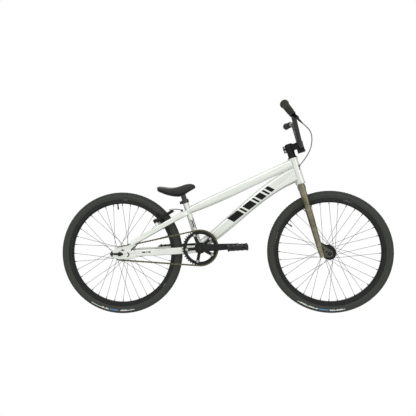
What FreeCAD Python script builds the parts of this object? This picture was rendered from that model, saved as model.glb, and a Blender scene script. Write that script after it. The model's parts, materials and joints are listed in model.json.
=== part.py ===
"""A 24 inch race cruiser BMX bicycle as a parametric assembly, in millimetres.

The origin is on the ground midway between the two axles, in the plane of the frame:
+X points forward, +Y to the rider's left and +Z up. The chain is on the right, at -Y.
Every sub-part is an object of its own whose Label names its file in parts/.
"""
import FreeCAD, Part
import math
import os
from FreeCAD import Placement, Rotation, Vector

DIMENSIONS = {
    # wheels
    "wheelbase": 1006.0, "tyre_radius": 297.0, "tyre_width": 44.0, "tyre_wall": 3.0,
    "rim_flange_radius": 259.5, "rim_well_radius": 252.0, "rim_inner_radius": 241.0,
    "rim_width": 28.0, "rim_wall": 2.0, "spoke_count": 36.0, "spoke_radius": 0.9,
    "front_flange_radius": 32.0, "rear_flange_radius": 29.0, "flange_width": 3.0,
    "axle_radius": 5.0, "front_hub_width": 100.0, "rear_hub_width": 110.0,
    # steering and fork
    "head_angle": 73.0, "head_height": 690.8, "fork_offset": 30.0, "steer_angle": 9.0,
    "head_tube_radius": 22.0, "head_tube_length": 130.0, "bearing_radius": 20.5,
    "steerer_radius": 14.3, "crown_drop": 68.0, "leg_top_radius": 16.5,
    "leg_bottom_radius": 12.0, "leg_top_spread": 50.0, "leg_bottom_spread": 60.0,
    "fork_plate": 6.0,
    # stem and handlebar
    "stem_reach": 51.0, "stem_rise": 103.0, "bar_radius": 11.1, "bar_wall": 2.0,
    "bar_half_width": 358.0, "grip_radius": 15.5, "grip_length": 134.0, "crossbar_radius": 8.0,
    # frame tubes
    "bb_height": 323.5, "bb_shell_radius": 22.5, "bb_shell_width": 68.0, "bb_cup_radius": 22.0,
    "seat_tube_angle": 72.4, "seat_tube_radius": 14.3, "seat_tube_top": 242.0,
    "tube_wall": 2.0, "top_tube_depth": 44.0, "top_tube_width": 38.0, "down_tube_depth": 56.0,
    "down_tube_width": 46.0, "stay_depth": 25.0, "stay_width": 15.0, "chain_stay_depth": 32.0,
    "dropout_thickness": 6.0,
    # seat
    "post_radius": 12.7, "post_length": 190.0, "clamp_length": 17.0, "saddle_length": 189.0,
    "saddle_width": 108.0,
    # drive
    "ring_teeth": 42.0, "cog_teeth": 15.0, "chain_pitch": 12.7, "chain_links": 90.0,
    "roller_radius": 3.85, "tooth_depth": 3.1, "tooth_thickness": 2.2, "chain_line": 44.0,
    "crank_length": 176.0, "crank_angle": 3.6, "crank_depth": 34.0, "spindle_radius": 12.0,
    "bolt_circle_radius": 65.0, "spider_angle": 42.5,
    "pedal_length": 94.0, "pedal_width": 92.0, "pedal_height": 22.0, "pedal_axle_radius": 6.0,
    # brake
    "brake_arm_length": 92.0, "brake_pivot_spread": 43.0, "pad_gap": 2.0, "cable_radius": 2.4,
    # clearances
    "running_gap": 0.05,
}

doc = FreeCAD.newDocument("race_cruiser")
sheet = doc.addObject("Spreadsheet::Sheet", "Dimensions")
for row, (alias, value) in enumerate(DIMENSIONS.items(), start=1):
    sheet.set(f"A{row}", alias)
    sheet.set(f"B{row}", str(value))
    sheet.setAlias(f"B{row}", alias)
doc.recompute()


def dim(alias):
    """The number a cell of the sheet holds."""
    return float(getattr(sheet, alias))


PARTS = {}
X_AXIS, Y_AXIS, Z_AXIS = Vector(1, 0, 0), Vector(0, 1, 0), Vector(0, 0, 1)


# ---------------------------------------------------------------- helpers

def bind(obj, **expressions):
    """Tie properties to the sheet; @name stands for the cell with that alias."""
    for name, text in expressions.items():
        obj.setExpression(name, text.replace("@", "Dimensions."))
    return obj


def cylinder(name, base, axis, radius, length):
    """A cylinder from base along axis, its radius and length given as sheet expressions."""
    obj = doc.addObject("Part::Cylinder", name)
    bind(obj, Radius=radius, Height=length)
    obj.Placement = Placement(base, Rotation(Z_AXIS, axis))
    return obj


def cone(name, base, axis, radius_1, radius_2, length):
    obj = doc.addObject("Part::Cone", name)
    bind(obj, Radius1=radius_1, Radius2=radius_2, Height=length)
    obj.Placement = Placement(base, Rotation(Z_AXIS, axis))
    return obj


def box(name, corner, length, width, height, turn=None):
    """A box whose length, width and height are sheet expressions, along its own X, Y and Z."""
    obj = doc.addObject("Part::Box", name)
    bind(obj, Length=length, Width=width, Height=height)
    obj.Placement = Placement(corner, turn or Rotation())
    return obj


def prism(name, base, axis, circumradius, length, sides=6):
    obj = doc.addObject("Part::Prism", name)
    obj.Polygon = sides
    bind(obj, Circumradius=circumradius, Height=length)
    obj.Placement = Placement(base, Rotation(Z_AXIS, axis))
    return obj


def feature(name, shape):
    obj = doc.addObject("Part::Feature", name)
    obj.Shape = shape
    return obj


def fuse(name, *objects):
    obj = doc.addObject("Part::MultiFuse", name)
    obj.Shapes = list(objects)
    return obj


def group(name, *objects):
    """Several separate solids of one sub-part."""
    obj = doc.addObject("Part::Compound", name)
    obj.Links = list(objects)
    return obj


def cut(name, base, *tools):
    obj = doc.addObject("Part::Cut", name)
    obj.Base = base
    obj.Tool = tools[0] if len(tools) == 1 else fuse(name + "_tools", *tools)
    return obj


def turned(name, profile, base=Vector(), axis=Y_AXIS):
    """A solid of revolution from (radius, distance along the axis) corners."""
    outline = doc.addObject("Part::Polygon", name + "_outline")
    outline.Nodes = [Vector(radius, along, 0) for radius, along in profile]
    outline.Close = True
    obj = doc.addObject("Part::Revolution", name)
    obj.Source = outline
    obj.Axis = Y_AXIS
    obj.Angle = 360.0
    obj.Solid = True
    obj.Placement = Placement(base, Rotation(Y_AXIS, axis))
    return obj


def rounded_section(name, centre, along, width, depth, corner):
    """A rounded rectangle across a tube: width is sideways, depth in the frame's plane."""
    side = Y_AXIS
    rise = Vector(along).cross(side).normalize().negative()
    half_w, half_d = width / 2, depth / 2
    corners = [(half_w, half_d), (-half_w, half_d), (-half_w, -half_d), (half_w, -half_d)]
    starts = [(0, -1), (1, 0), (0, 1), (-1, 0)]
    edges, first, last = [], None, None
    for (w, d), (sw, sd) in zip(corners, starts):
        turn_w, turn_d = -math.copysign(corner, w), -math.copysign(corner, d)
        begin = (w, d + turn_d) if sw == 0 else (w + turn_w, d)
        end = (w + turn_w, d) if sw == 0 else (w, d + turn_d)
        slack = corner * (1 - math.sqrt(0.5))
        middle = (w - math.copysign(slack, w), d - math.copysign(slack, d))
        points = [centre + side * a + rise * b for a, b in (begin, middle, end)]
        if last is not None:
            edges.append(Part.LineSegment(last, points[0]).toShape())
        edges.append(Part.Arc(*points).toShape())
        first = first or points[0]
        last = points[2]
    edges.append(Part.LineSegment(last, first).toShape())
    return feature(name, Part.Wire(edges))


def loft(name, sections):
    obj = doc.addObject("Part::Loft", name)
    obj.Sections = sections
    obj.Solid = True
    return obj


def shaped_tube(name, stations, corner, wall):
    """Outer and inner lofts of a tube through (centre, width, depth) stations."""
    bodies = []
    for kind, inset in (("outer", 0.0), ("inner", wall)):
        sections = []
        for index, (centre, width, depth) in enumerate(stations):
            before = stations[max(index - 1, 0)][0]
            after = stations[min(index + 1, len(stations) - 1)][0]
            sections.append(rounded_section(f"{name}_{kind}_{index}", centre, after - before,
                                            width - 2 * inset, depth - 2 * inset, corner - inset))
        bodies.append(loft(f"{name}_{kind}", sections))
    return bodies


def rounded_path(points, radii):
    """Straight runs through the points, with a tangent arc of its own radius at each corner."""
    edges, start = [], points[0]
    for index, radius in enumerate(radii, start=1):
        here = points[index]
        back = (points[index - 1] - here).normalize()
        ahead = (points[index + 1] - here).normalize()
        half = back.getAngle(ahead) / 2
        reach = radius / math.tan(half)
        centre = here + (back + ahead).normalize() * (radius / math.sin(half))
        enter, leave = here + back * reach, here + ahead * reach
        crest = centre + (here - centre).normalize() * radius
        edges.append(Part.LineSegment(start, enter).toShape())
        edges.append(Part.Arc(enter, crest, leave).toShape())
        start = leave
    edges.append(Part.LineSegment(start, points[-1]).toShape())
    return Part.Wire(edges)


def cord_radii(points):
    """The largest arcs that the runs beside each corner allow."""
    radii = []
    for index in range(1, len(points) - 1):
        before, after = points[index] - points[index - 1], points[index + 1] - points[index]
        radii.append(0.45 * min(before.Length, after.Length) / math.tan(before.getAngle(after) / 2))
    return radii


def swept(name, path, radius):
    """A round bar along a path, its radius a sheet expression."""
    spine = feature(name + "_path", path)
    ring = doc.addObject("Part::Circle", name + "_ring")
    bind(ring, Radius=radius)
    start = path.OrderedEdges[0]
    ring.Placement = Placement(start.valueAt(start.FirstParameter),
                               Rotation(Z_AXIS, start.tangentAt(start.FirstParameter)))
    obj = doc.addObject("Part::Sweep", name)
    obj.Sections = [ring]
    obj.Spine = (spine, [f"Edge{n + 1}" for n in range(len(path.Edges))])
    obj.Solid = True
    obj.Frenet = False
    return obj


def part(label, obj, placement=None):
    """Name a finished sub-part and put it in its place."""
    if placement is not None:
        obj = group(label + "_placed", obj)
        obj.Placement = placement
    obj.Label = label
    PARTS[label] = obj
    return obj


def mirrored_sides():
    """The right side is at -Y and the left side at +Y."""
    return (("right", -1), ("left", 1))


# ---------------------------------------------------------------- reference points

REAR_AXLE = Vector(-dim("wheelbase") / 2, 0, dim("tyre_radius"))
FRONT_AXLE = Vector(dim("wheelbase") / 2, 0, dim("tyre_radius"))
HEAD_TILT = math.radians(dim("head_angle"))
STEER_UP = Vector(-math.cos(HEAD_TILT), 0, math.sin(HEAD_TILT))
STEER_AHEAD = Vector(math.sin(HEAD_TILT), 0, math.cos(HEAD_TILT))
AXIS_FOOT = FRONT_AXLE - STEER_AHEAD * dim("fork_offset")
HEAD = AXIS_FOOT + STEER_UP * ((dim("head_height") - AXIS_FOOT.z) / STEER_UP.z)
AXLE_DROP = (HEAD - AXIS_FOOT).Length
STEERED = Placement(Vector(), Rotation(STEER_UP, -dim("steer_angle")), HEAD)


def on_fork(rise, ahead, side=0.0):
    """A point of the steered parts, before the steering is turned."""
    return HEAD + STEER_UP * rise + STEER_AHEAD * ahead + Vector(0, side, 0)


def chain_geometry(centres):
    """Pitch radii, the slant of the straight runs, and the links round a given centre distance."""
    pitch = dim("chain_pitch")
    ring = pitch / 2 / math.sin(math.pi / dim("ring_teeth"))
    cog = pitch / 2 / math.sin(math.pi / dim("cog_teeth"))
    slant = math.asin((ring - cog) / centres)
    on_ring = (math.pi + 2 * slant) / (2 * math.pi / dim("ring_teeth"))
    on_cog = (math.pi - 2 * slant) / (2 * math.pi / dim("cog_teeth"))
    run = centres * math.cos(slant) / pitch
    return ring, cog, slant, on_ring, on_cog, run


def centre_distance():
    """The distance between ring and cog that a whole number of links fits."""
    low, high = 300.0, 500.0
    for _ in range(60):
        middle = (low + high) / 2
        _, _, _, on_ring, on_cog, run = chain_geometry(middle)
        if on_ring + on_cog + 2 * run < dim("chain_links"):
            low = middle
        else:
            high = middle
    return (low + high) / 2


CENTRES = centre_distance()
RING_PITCH, COG_PITCH, SLANT, ON_RING, ON_COG, RUN = chain_geometry(CENTRES)
BB_RISE = dim("bb_height") - REAR_AXLE.z
BB = Vector(REAR_AXLE.x + math.sqrt(CENTRES ** 2 - BB_RISE ** 2), 0, dim("bb_height"))
CENTRE_TILT = math.asin(BB_RISE / CENTRES)
SEAT_TILT = math.radians(dim("seat_tube_angle"))
SEAT_UP = Vector(-math.cos(SEAT_TILT), 0, math.sin(SEAT_TILT))
SEAT_FOOT = BB + Vector(-4, 0, 0)
CRANKED = Placement(Vector(), Rotation(Y_AXIS, -dim("crank_angle")), BB)


# ---------------------------------------------------------------- wheels

def tyre(end, centre):
    """A hollow casing that stands on the two flanges of its rim."""
    turn = Rotation(Z_AXIS, Y_AXIS)
    shells = []
    for kind, inset in (("casing", "0"), ("air", "@tyre_wall")):
        ring = doc.addObject("Part::Torus", f"{end}_{kind}")
        bind(ring, Radius1="@tyre_radius - @tyre_width / 2", Radius2=f"@tyre_width / 2 - {inset}")
        ring.Placement = Placement(centre, turn)
        shells.append(ring)
    mouth = cylinder(f"{end}_mouth", centre - Y_AXIS * 40, Y_AXIS, "@rim_flange_radius", "80")
    return cut(f"{end}_tyre_body", shells[0], shells[1], mouth)


def rim(end, centre):
    """A double-walled alloy rim with a hole for every nipple."""
    flange, well, inner = dim("rim_flange_radius"), dim("rim_well_radius"), dim("rim_inner_radius")
    half, wall = dim("rim_width") / 2, dim("rim_wall")
    shoulder = inner + 6
    outline = [(flange, half), (flange, half - wall), (well, half - wall), (well, wall - half),
               (flange, wall - half), (flange, -half), (shoulder, -half), (inner, -half / 2),
               (inner, half / 2), (shoulder, half)]
    hollow = [(well - wall, half - wall), (well - wall, wall - half), (shoulder, wall - half),
              (inner + wall, wall - half / 2), (inner + wall, half / 2 - wall), (shoulder, half - wall)]
    holes = []
    count = int(dim("spoke_count"))
    for n in range(count):
        out = Rotation(Y_AXIS, -360.0 * n / count).multVec(X_AXIS)
        hole = Part.makeCylinder(2.8, flange - inner + 4, centre + out * (inner - 2), out)
        holes.append(hole)
    drill = feature(f"{end}_nipple_holes", Part.Compound(holes))
    return cut(f"{end}_rim_body", turned(f"{end}_rim_outline", outline, centre),
               turned(f"{end}_rim_hollow", hollow, centre), drill)


def spokes(centre, hole_radius, right_flange, left_flange):
    """Straight-gauge spokes laced three-cross, each with its elbow, head and nipple."""
    count, wire = int(dim("spoke_count")), dim("spoke_radius")
    half = count // 2
    crossing = 3 * 720.0 / count
    lift = dim("flange_width") / 2 + wire + 0.15
    solids = []
    for side, flange in ((-1, right_flange), (1, left_flange)):
        for n in range(half):
            ahead = 1 if n % 2 else -1
            hub_angle = 360.0 * n / half + (0 if side < 0 else 180.0 / half)
            rim_angle = hub_angle + ahead * crossing
            hub_out = Rotation(Y_AXIS, -hub_angle).multVec(X_AXIS)
            rim_out = Rotation(Y_AXIS, -rim_angle).multVec(X_AXIS)
            elbow = centre + hub_out * hole_radius + Y_AXIS * (side * flange + ahead * lift)
            foot = centre + rim_out * (dim("rim_inner_radius") + 3) + Y_AXIS * (side * 2.5)
            run = foot - elbow
            straight = Part.makeCylinder(wire, run.Length, elbow, run)
            through = Y_AXIS * -ahead
            neck = Part.makeCylinder(wire, 2 * lift, elbow, through)
            head = Part.makeCylinder(wire * 1.9, 1.0, elbow + through * (2 * lift), through)
            corner = Part.makeSphere(wire, elbow)
            unit = Vector(run).normalize()
            nipple = Part.makeCylinder(2.0, 16.0, foot - unit * 13, unit)
            solids.append(straight.fuse([neck, head, corner, nipple]).removeSplitter())
    return Part.Compound(solids)


def hub(end, centre, hole_radius, right, left, right_end, left_end):
    """A hub shell with drilled flanges, and the two sealed bearings in it."""
    seat, barrel, edge, thick = 13.0, 17.0, hole_radius + 4.5, dim("flange_width") / 2
    profile = [(seat, -right_end), (barrel, -right_end), (barrel, -right - thick),
               (edge, -right - thick), (edge, thick - right), (barrel, thick - right),
               (barrel, left - thick), (edge, left - thick), (edge, left + thick),
               (barrel, left + thick), (barrel, left_end), (seat, left_end)]
    half = int(dim("spoke_count")) // 2
    drills = []
    for side, flange in ((-1, right), (1, left)):
        for n in range(half):
            angle = -(360.0 * n / half + (0 if side < 0 else 180.0 / half))
            out = Rotation(Y_AXIS, angle).multVec(X_AXIS)
            start = centre + out * hole_radius + Y_AXIS * (side * flange - 4)
            drills.append(Part.makeCylinder(1.4, 8.0, start, Y_AXIS))
    holes = feature(f"{end}_hub_holes", Part.Compound(drills))
    shell = cut(f"{end}_hub_shell", turned(f"{end}_hub_profile", profile, centre), holes)
    bore = dim("axle_radius") + dim("running_gap")
    races = []
    for name, start in (("right", 1 - right_end), ("left", left_end - 9)):
        ring = [(bore, start), (seat, start), (seat, start + 8), (bore, start + 8)]
        races.append(turned(f"{end}_bearing_{name}", ring, centre))
    return group(f"{end}_hub_group", shell, *races)


def wheel(end, centre, hole_radius, right, left, right_end, left_end, placement=None):
    part(f"{end}_tyre", tyre(end, centre), placement)
    part(f"{end}_rim", rim(end, centre), placement)
    laced = spokes(centre, hole_radius, right, left)
    part(f"{end}_spokes", feature(f"{end}_spoke_set", laced), placement)
    turned_hub = hub(end, centre, hole_radius, right, left, right_end, left_end)
    part(f"{end}_hub", turned_hub, placement)


wheel("rear", REAR_AXLE, dim("rear_flange_radius"), 29.0, 33.0, 38.5, 46.5)
wheel("front", FRONT_AXLE, dim("front_flange_radius") - 4, 32.0, 32.0, 42.5, 42.5, STEERED)

DROPOUT_FACE = dim("rear_hub_width") / 2
FORK_FACE = dim("front_hub_width") / 2
FREE_THREAD = 8.0
NUT_START = DROPOUT_FACE + dim("dropout_thickness")
NUT_END = NUT_START + 10.0


def rear_axle():
    """The solid axle with its turned-down free ends, and the spacers that the dropouts close on."""
    reach, shoulder = NUT_END + FREE_THREAD, NUT_END + 1.5
    core = cylinder("rear_core", REAR_AXLE - Y_AXIS * reach, Y_AXIS, "@axle_radius - 0.25", str(2 * reach))
    shaft = cylinder("rear_shaft", REAR_AXLE - Y_AXIS * shoulder, Y_AXIS, "@axle_radius", str(2 * shoulder))
    spacer_l = cylinder("rear_spacer_left", REAR_AXLE + Y_AXIS * (DROPOUT_FACE - 8), Y_AXIS, "8", "8")
    spacer_r = cylinder("rear_spacer_right", REAR_AXLE - Y_AXIS * DROPOUT_FACE, Y_AXIS, "8", "16")
    return fuse("rear_axle_body", core, shaft, spacer_l, spacer_r)


def axle_nuts():
    nuts = []
    for name, side in mirrored_sides():
        out = Y_AXIS * side
        washer = cylinder(f"rear_washer_{name}", REAR_AXLE + out * NUT_START, out, "10.5", "2")
        hexagon = prism(f"rear_nut_{name}", REAR_AXLE + out * (NUT_START + 2), out, "9.8", "8")
        bore = cylinder(f"rear_nut_bore_{name}", REAR_AXLE + out * NUT_START, out, "@axle_radius", "10")
        nuts.append(cut(f"rear_nut_body_{name}", fuse(f"rear_nut_blank_{name}", washer, hexagon), bore))
    return group("rear_nuts", *nuts)


def front_axle():
    """A through axle with a socket-headed bolt against each fork plate."""
    face = FORK_FACE + dim("fork_plate")
    pieces = [cylinder("front_shaft", FRONT_AXLE - Y_AXIS * face, Y_AXIS, "@axle_radius", str(2 * face))]
    sockets = []
    for name, side in mirrored_sides():
        out = Y_AXIS * side
        pieces.append(cylinder(f"front_spacer_{name}", FRONT_AXLE + out * (FORK_FACE - 7), out, "8", "7"))
        pieces.append(cone(f"front_bolt_{name}", FRONT_AXLE + out * face, out, "10", "8.5", "5"))
        sockets.append(prism(f"front_socket_{name}", FRONT_AXLE + out * (face + 1), out, "4.2", "5"))
    return cut("front_axle_body", fuse("front_axle_blank", *pieces), *sockets)


part("rear_axle", rear_axle())
part("rear_axle_nuts", axle_nuts())
part("front_axle", front_axle(), STEERED)


# ---------------------------------------------------------------- drive train

def gap_angles(teeth, first):
    return [first + 2 * math.pi * n / teeth for n in range(teeth)]


def toothed_disc(centre, teeth, pitch_radius, first_gap, bore):
    """A flat sprocket: round seats for the rollers, straight flanks and narrow tips."""
    tip = pitch_radius + dim("tooth_depth")
    seat = dim("roller_radius") + 0.2
    half_pitch = math.pi / teeth
    edges, first, last = [], None, None

    def at(angle, radial, along):
        out = Vector(math.cos(angle), 0, math.sin(angle))
        round_way = Vector(-math.sin(angle), 0, math.cos(angle))
        return centre + out * radial + round_way * along

    tip_half = tip * math.tan(half_pitch) - 1.0
    for angle in gap_angles(teeth, first_gap):
        points = [at(angle, tip, -tip_half), at(angle, pitch_radius, -seat),
                  at(angle, pitch_radius - seat, 0), at(angle, pitch_radius, seat),
                  at(angle, tip, tip_half)]
        if last is not None:
            edges.append(Part.LineSegment(last, points[0]).toShape())
        edges.append(Part.LineSegment(points[0], points[1]).toShape())
        edges.append(Part.Arc(points[1], points[2], points[3]).toShape())
        edges.append(Part.LineSegment(points[3], points[4]).toShape())
        first = first or points[0]
        last = points[4]
    edges.append(Part.LineSegment(last, first).toShape())
    thickness = dim("tooth_thickness")
    middle = Y_AXIS * -dim("chain_line")
    blank = Part.Face(Part.Wire(edges)).extrude(Y_AXIS * thickness)
    blank.translate(middle - Y_AXIS * thickness / 2)
    hole = Part.makeCylinder(bore, thickness + 2, centre + middle - Y_AXIS * (thickness / 2 + 1), Y_AXIS)
    return blank.cut(hole)


TOP_ANGLE = CENTRE_TILT + math.pi / 2 + SLANT
LOW_ANGLE = CENTRE_TILT - math.pi / 2 - SLANT
FIRST_COG_PIN = math.ceil(RUN)
COG_GAP = TOP_ANGLE + (FIRST_COG_PIN - RUN) * 2 * math.pi / dim("cog_teeth")


def flat_angle(angle):
    return Vector(math.cos(angle), 0, math.sin(angle))


def chain_pin(along):
    """A pin's place: back along the top run, round the cog, forward below and up the ring."""
    plane = Y_AXIS * -dim("chain_line")
    ring, cog = BB + plane, REAR_AXLE + plane
    if along < RUN:
        start, end = ring + flat_angle(TOP_ANGLE) * RING_PITCH, cog + flat_angle(TOP_ANGLE) * COG_PITCH
        return start + (end - start) * (along / RUN)
    along -= RUN
    if along < ON_COG:
        return cog + flat_angle(TOP_ANGLE + along * 2 * math.pi / dim("cog_teeth")) * COG_PITCH
    along -= ON_COG
    if along < RUN:
        start, end = cog + flat_angle(LOW_ANGLE) * COG_PITCH, ring + flat_angle(LOW_ANGLE) * RING_PITCH
        return start + (end - start) * (along / RUN)
    along -= RUN
    return ring + flat_angle(LOW_ANGLE + along * 2 * math.pi / dim("ring_teeth")) * RING_PITCH


def chain_link(outer):
    """A link along +X: two plates joined by bushes, or by the pins that turn in them."""
    pitch, plate_radius, plate = dim("chain_pitch"), 4.1, 1.0
    inner_face = 2.75 if outer else 1.7
    solids = []
    for side in (-1, 1):
        low = inner_face if side > 0 else -inner_face - plate
        ends = [Part.makeCylinder(plate_radius, plate, Vector(x, low, 0), Y_AXIS) for x in (0, pitch)]
        web = Part.makeBox(pitch, plate, 1.5 * plate_radius, Vector(0, low, -0.75 * plate_radius))
        solids += [ends[0], ends[1], web]
    radius, half = (1.75, 4.4) if outer else (dim("roller_radius"), 1.7)
    for x in (0, pitch):
        solids.append(Part.makeCylinder(radius, 2 * half, Vector(x, -half, 0), Y_AXIS))
    link = solids[0].fuse(solids[1:])
    if not outer:
        for x in (0, pitch):
            link = link.cut(Part.makeCylinder(1.85, 8, Vector(x, -4, 0), Y_AXIS))
    return link.removeSplitter()


def chain():
    templates = (chain_link(False), chain_link(True))
    links = []
    count = int(dim("chain_links"))
    for n in range(count):
        here, there = chain_pin(n), chain_pin((n + 1) % count)
        run = there - here
        link = templates[n % 2].copy()
        slack = (run.Length - dim("chain_pitch")) / 2
        start = here + Vector(run).normalize() * slack
        link.Placement = Placement(start, Rotation(X_AXIS, run))
        links.append(link)
    return Part.Compound(links)


part("chain", feature("chain_links_set", chain()))


def freewheel():
    """The cog and the driver that it turns on, outboard of the hub shell."""
    cog = feature("cog_disc", toothed_disc(REAR_AXLE, int(dim("cog_teeth")), COG_PITCH, COG_GAP, 16.0))
    bore = 8 + dim("running_gap")
    profile = [(bore, -50), (17, -50), (19, -47), (19, -40.5), (bore, -40.5)]
    return fuse("freewheel_body", cog, turned("freewheel_driver", profile, REAR_AXLE))


part("rear_cog", freewheel())

RING_FACE = -dim("chain_line") - 1.7
SPIDER_FACE = RING_FACE - 5.0
HUB_OUTER, HUB_INNER, END_OUTER, END_INNER = 64.0, 45.5, 84.0, 69.0


def spider_angles():
    return [math.radians(dim("spider_angle") + 72.0 * n) for n in range(5)]


def chainring():
    """The toothed ring, a thicker inner band and five bolt tabs."""
    teeth = feature("ring_teeth_disc", toothed_disc(BB, int(dim("ring_teeth")), RING_PITCH, TOP_ANGLE, 66.0))
    band = [(66, RING_FACE), (78, RING_FACE), (78, RING_FACE + 3.4), (66, RING_FACE + 3.4)]
    pieces, holes = [teeth, turned("ring_band", band, BB)], []
    for n, angle in enumerate(spider_angles()):
        centre = BB + flat_angle(angle) * dim("bolt_circle_radius") + Y_AXIS * RING_FACE
        pieces.append(cylinder(f"ring_tab_{n}", centre, Y_AXIS, "9.5", "3.4"))
        holes.append(cylinder(f"ring_hole_{n}", centre - Y_AXIS, Y_AXIS, "5", "6"))
    return cut("chainring_body", fuse("chainring_blank", *pieces), *holes)


def chainring_bolts():
    bolts = []
    for n, angle in enumerate(spider_angles()):
        centre = BB + flat_angle(angle) * dim("bolt_circle_radius")
        shank = cylinder(f"ring_bolt_{n}", centre + Y_AXIS * SPIDER_FACE, Y_AXIS, "5", "8.4")
        head = cylinder(f"ring_bolt_head_{n}", centre + Y_AXIS * (SPIDER_FACE - 1.4), Y_AXIS, "6.5", "1.4")
        nut = cylinder(f"ring_nut_{n}", centre + Y_AXIS * (RING_FACE + 3.4), Y_AXIS, "6.5", "1")
        socket = prism(f"ring_socket_{n}", centre + Y_AXIS * (SPIDER_FACE - 2), Y_AXIS, "3", "4")
        bolts.append(cut(f"ring_bolt_body_{n}", fuse(f"ring_bolt_blank_{n}", shank, head, nut), socket))
    return group("ring_bolts", *bolts)


def crank_arm(name, side, way):
    """A forged arm: its hub on the spindle, its blade, and the boss that holds the pedal."""
    middle_hub, middle_end = (HUB_OUTER + HUB_INNER) / 2, (END_OUTER + END_INNER) / 2
    reach, deep = dim("crank_length"), dim("crank_depth")
    stations = [(0, middle_hub, 16, deep), (0.35, 0.55 * middle_hub + 0.45 * middle_end, 14, deep - 1),
                (1.0, middle_end, 13, deep - 9)]
    sections = []
    for n, (share, out, width, depth) in enumerate(stations):
        centre = BB + Vector(way * reach * share, side * out, 0)
        sections.append(rounded_section(f"{name}_section_{n}", centre, X_AXIS, width, depth, 5.0))
    blade = loft(f"{name}_blade", sections)
    out = Y_AXIS * side
    hub_boss = cylinder(f"{name}_hub", BB + out * HUB_INNER, out, "19", str(HUB_OUTER - HUB_INNER))
    pedal_eye = BB + Vector(way * reach, 0, 0)
    end_boss = cylinder(f"{name}_end", pedal_eye + out * END_INNER, out, "13.5", str(END_OUTER - END_INNER))
    hub_bore = cylinder(f"{name}_hub_bore", BB + out * 40, out, "@spindle_radius", "40")
    eye_bore = cylinder(f"{name}_eye_bore", pedal_eye + out * 60, out, "7", "40")
    return [blade, hub_boss, end_boss], [hub_bore, eye_bore]


def right_crank():
    """The drive-side arm, forged with the five arms that carry the ring."""
    solids, bores = crank_arm("crank_right", -1, 1)
    disc = cylinder("spider_disc", BB + Y_AXIS * SPIDER_FACE, Y_AXIS, "27", "5")
    solids.append(disc)
    for n, angle in enumerate(spider_angles()):
        angle -= math.radians(dim("crank_angle"))
        turn = Rotation(Y_AXIS, -math.degrees(angle))
        corner = BB + turn.multVec(Vector(15, 0, -7.5)) + Y_AXIS * SPIDER_FACE
        solids.append(box(f"spider_arm_{n}", corner, "@bolt_circle_radius - 15", "5", "15", turn))
        tip = BB + flat_angle(angle) * dim("bolt_circle_radius") + Y_AXIS * SPIDER_FACE
        solids.append(cylinder(f"spider_tip_{n}", tip, Y_AXIS, "9.5", "5"))
        bores.append(cylinder(f"spider_hole_{n}", tip - Y_AXIS * 3, Y_AXIS, "5", "11"))
    bores.append(cylinder("spider_bore", BB + Y_AXIS * (SPIDER_FACE - 1), Y_AXIS, "@spindle_radius", "8"))
    return cut("crank_right_body", fuse("crank_right_blank", *solids), *bores)


def left_crank():
    solids, bores = crank_arm("crank_left", 1, -1)
    return cut("crank_left_body", fuse("crank_left_blank", *solids), *bores)


def spindle():
    """The crank spindle with a bolt cap at each end."""
    half = HUB_OUTER - 1
    pieces = [cylinder("spindle_bar", BB - Y_AXIS * half, Y_AXIS, "@spindle_radius", str(2 * half))]
    for name, side in mirrored_sides():
        out = Y_AXIS * side
        pieces.append(cylinder(f"spindle_cap_{name}", BB + out * half, out, "9", "4"))
    sockets = [prism(f"spindle_socket_{name}", BB + Y_AXIS * side * (half + 1), Y_AXIS * side, "4.6", "5")
               for name, side in mirrored_sides()]
    return cut("spindle_body", fuse("spindle_blank", *pieces), *sockets)


PEDAL_START, PEDAL_COLLAR = END_OUTER + 4.0, END_OUTER + 3.5


def pedal_axles():
    axles = []
    for (name, side), way in zip(mirrored_sides(), (1, -1)):
        eye, out = BB + Vector(way * dim("crank_length"), 0, 0), Y_AXIS * side
        thread = cylinder(f"pedal_thread_{name}", eye + out * END_INNER, out, "7", str(END_OUTER - END_INNER))
        collar = cylinder(f"pedal_collar_{name}", eye + out * END_OUTER, out, "9.5", "3.5")
        shaft = cylinder(f"pedal_shaft_{name}", eye + out * PEDAL_COLLAR, out, "@pedal_axle_radius",
                         "@pedal_width - 2")
        axles.append(fuse(f"pedal_axle_{name}", thread, collar, shaft))
    return group("pedal_axle_pair", *axles)


def pedal(name, side, way):
    """A platform pedal: a frame with openings, the barrel on its axle, ribs and grip pins."""
    eye = BB + Vector(way * dim("crank_length"), 0, 0)
    long, wide, high, rail = dim("pedal_length"), dim("pedal_width"), dim("pedal_height"), 9.0
    near = PEDAL_START if side > 0 else -PEDAL_START - wide

    def block(label, x, y, z, length, width, height):
        corner = Vector(eye.x + x - length / 2, near + y, eye.z + z - height / 2)
        return box(f"pedal_{name}_{label}", corner, str(length), str(width), str(height))

    frame = cut(f"pedal_{name}_frame", block("platform", 0, 0, 0, long, wide, high),
                block("open", 0, rail, 0, long - 2 * rail, wide - 2 * rail, high + 2),
                block("side_front", long * 0.27, -1, 0, 16, wide + 2, 9),
                block("side_rear", -long * 0.27, -1, 0, 16, wide + 2, 9))
    barrel = cylinder(f"pedal_{name}_barrel", Vector(eye.x, near, eye.z), Y_AXIS, "10.5", "@pedal_width")
    solids = [frame, barrel, block("rib_cross", 0, wide / 2 - 3, 0, long - 4, 6, high - 6)]
    for column, x in enumerate((-long / 2 + 5, long / 2 - 5)):
        for row_number in range(4):
            y = near + 10 + row_number * (wide - 20) / 3
            foot = Vector(eye.x + x, y, eye.z - high / 2 - 3.5)
            solids.append(cylinder(f"pedal_{name}_pin_{column}{row_number}", foot, Z_AXIS, "1.8",
                                   "@pedal_height + 7"))
    bore = cylinder(f"pedal_{name}_bore", Vector(eye.x, near - 1, eye.z), Y_AXIS,
                    "@pedal_axle_radius + @running_gap", "@pedal_width + 2")
    return cut(f"pedal_{name}_body", fuse(f"pedal_{name}_blank", *solids), bore)


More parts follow.
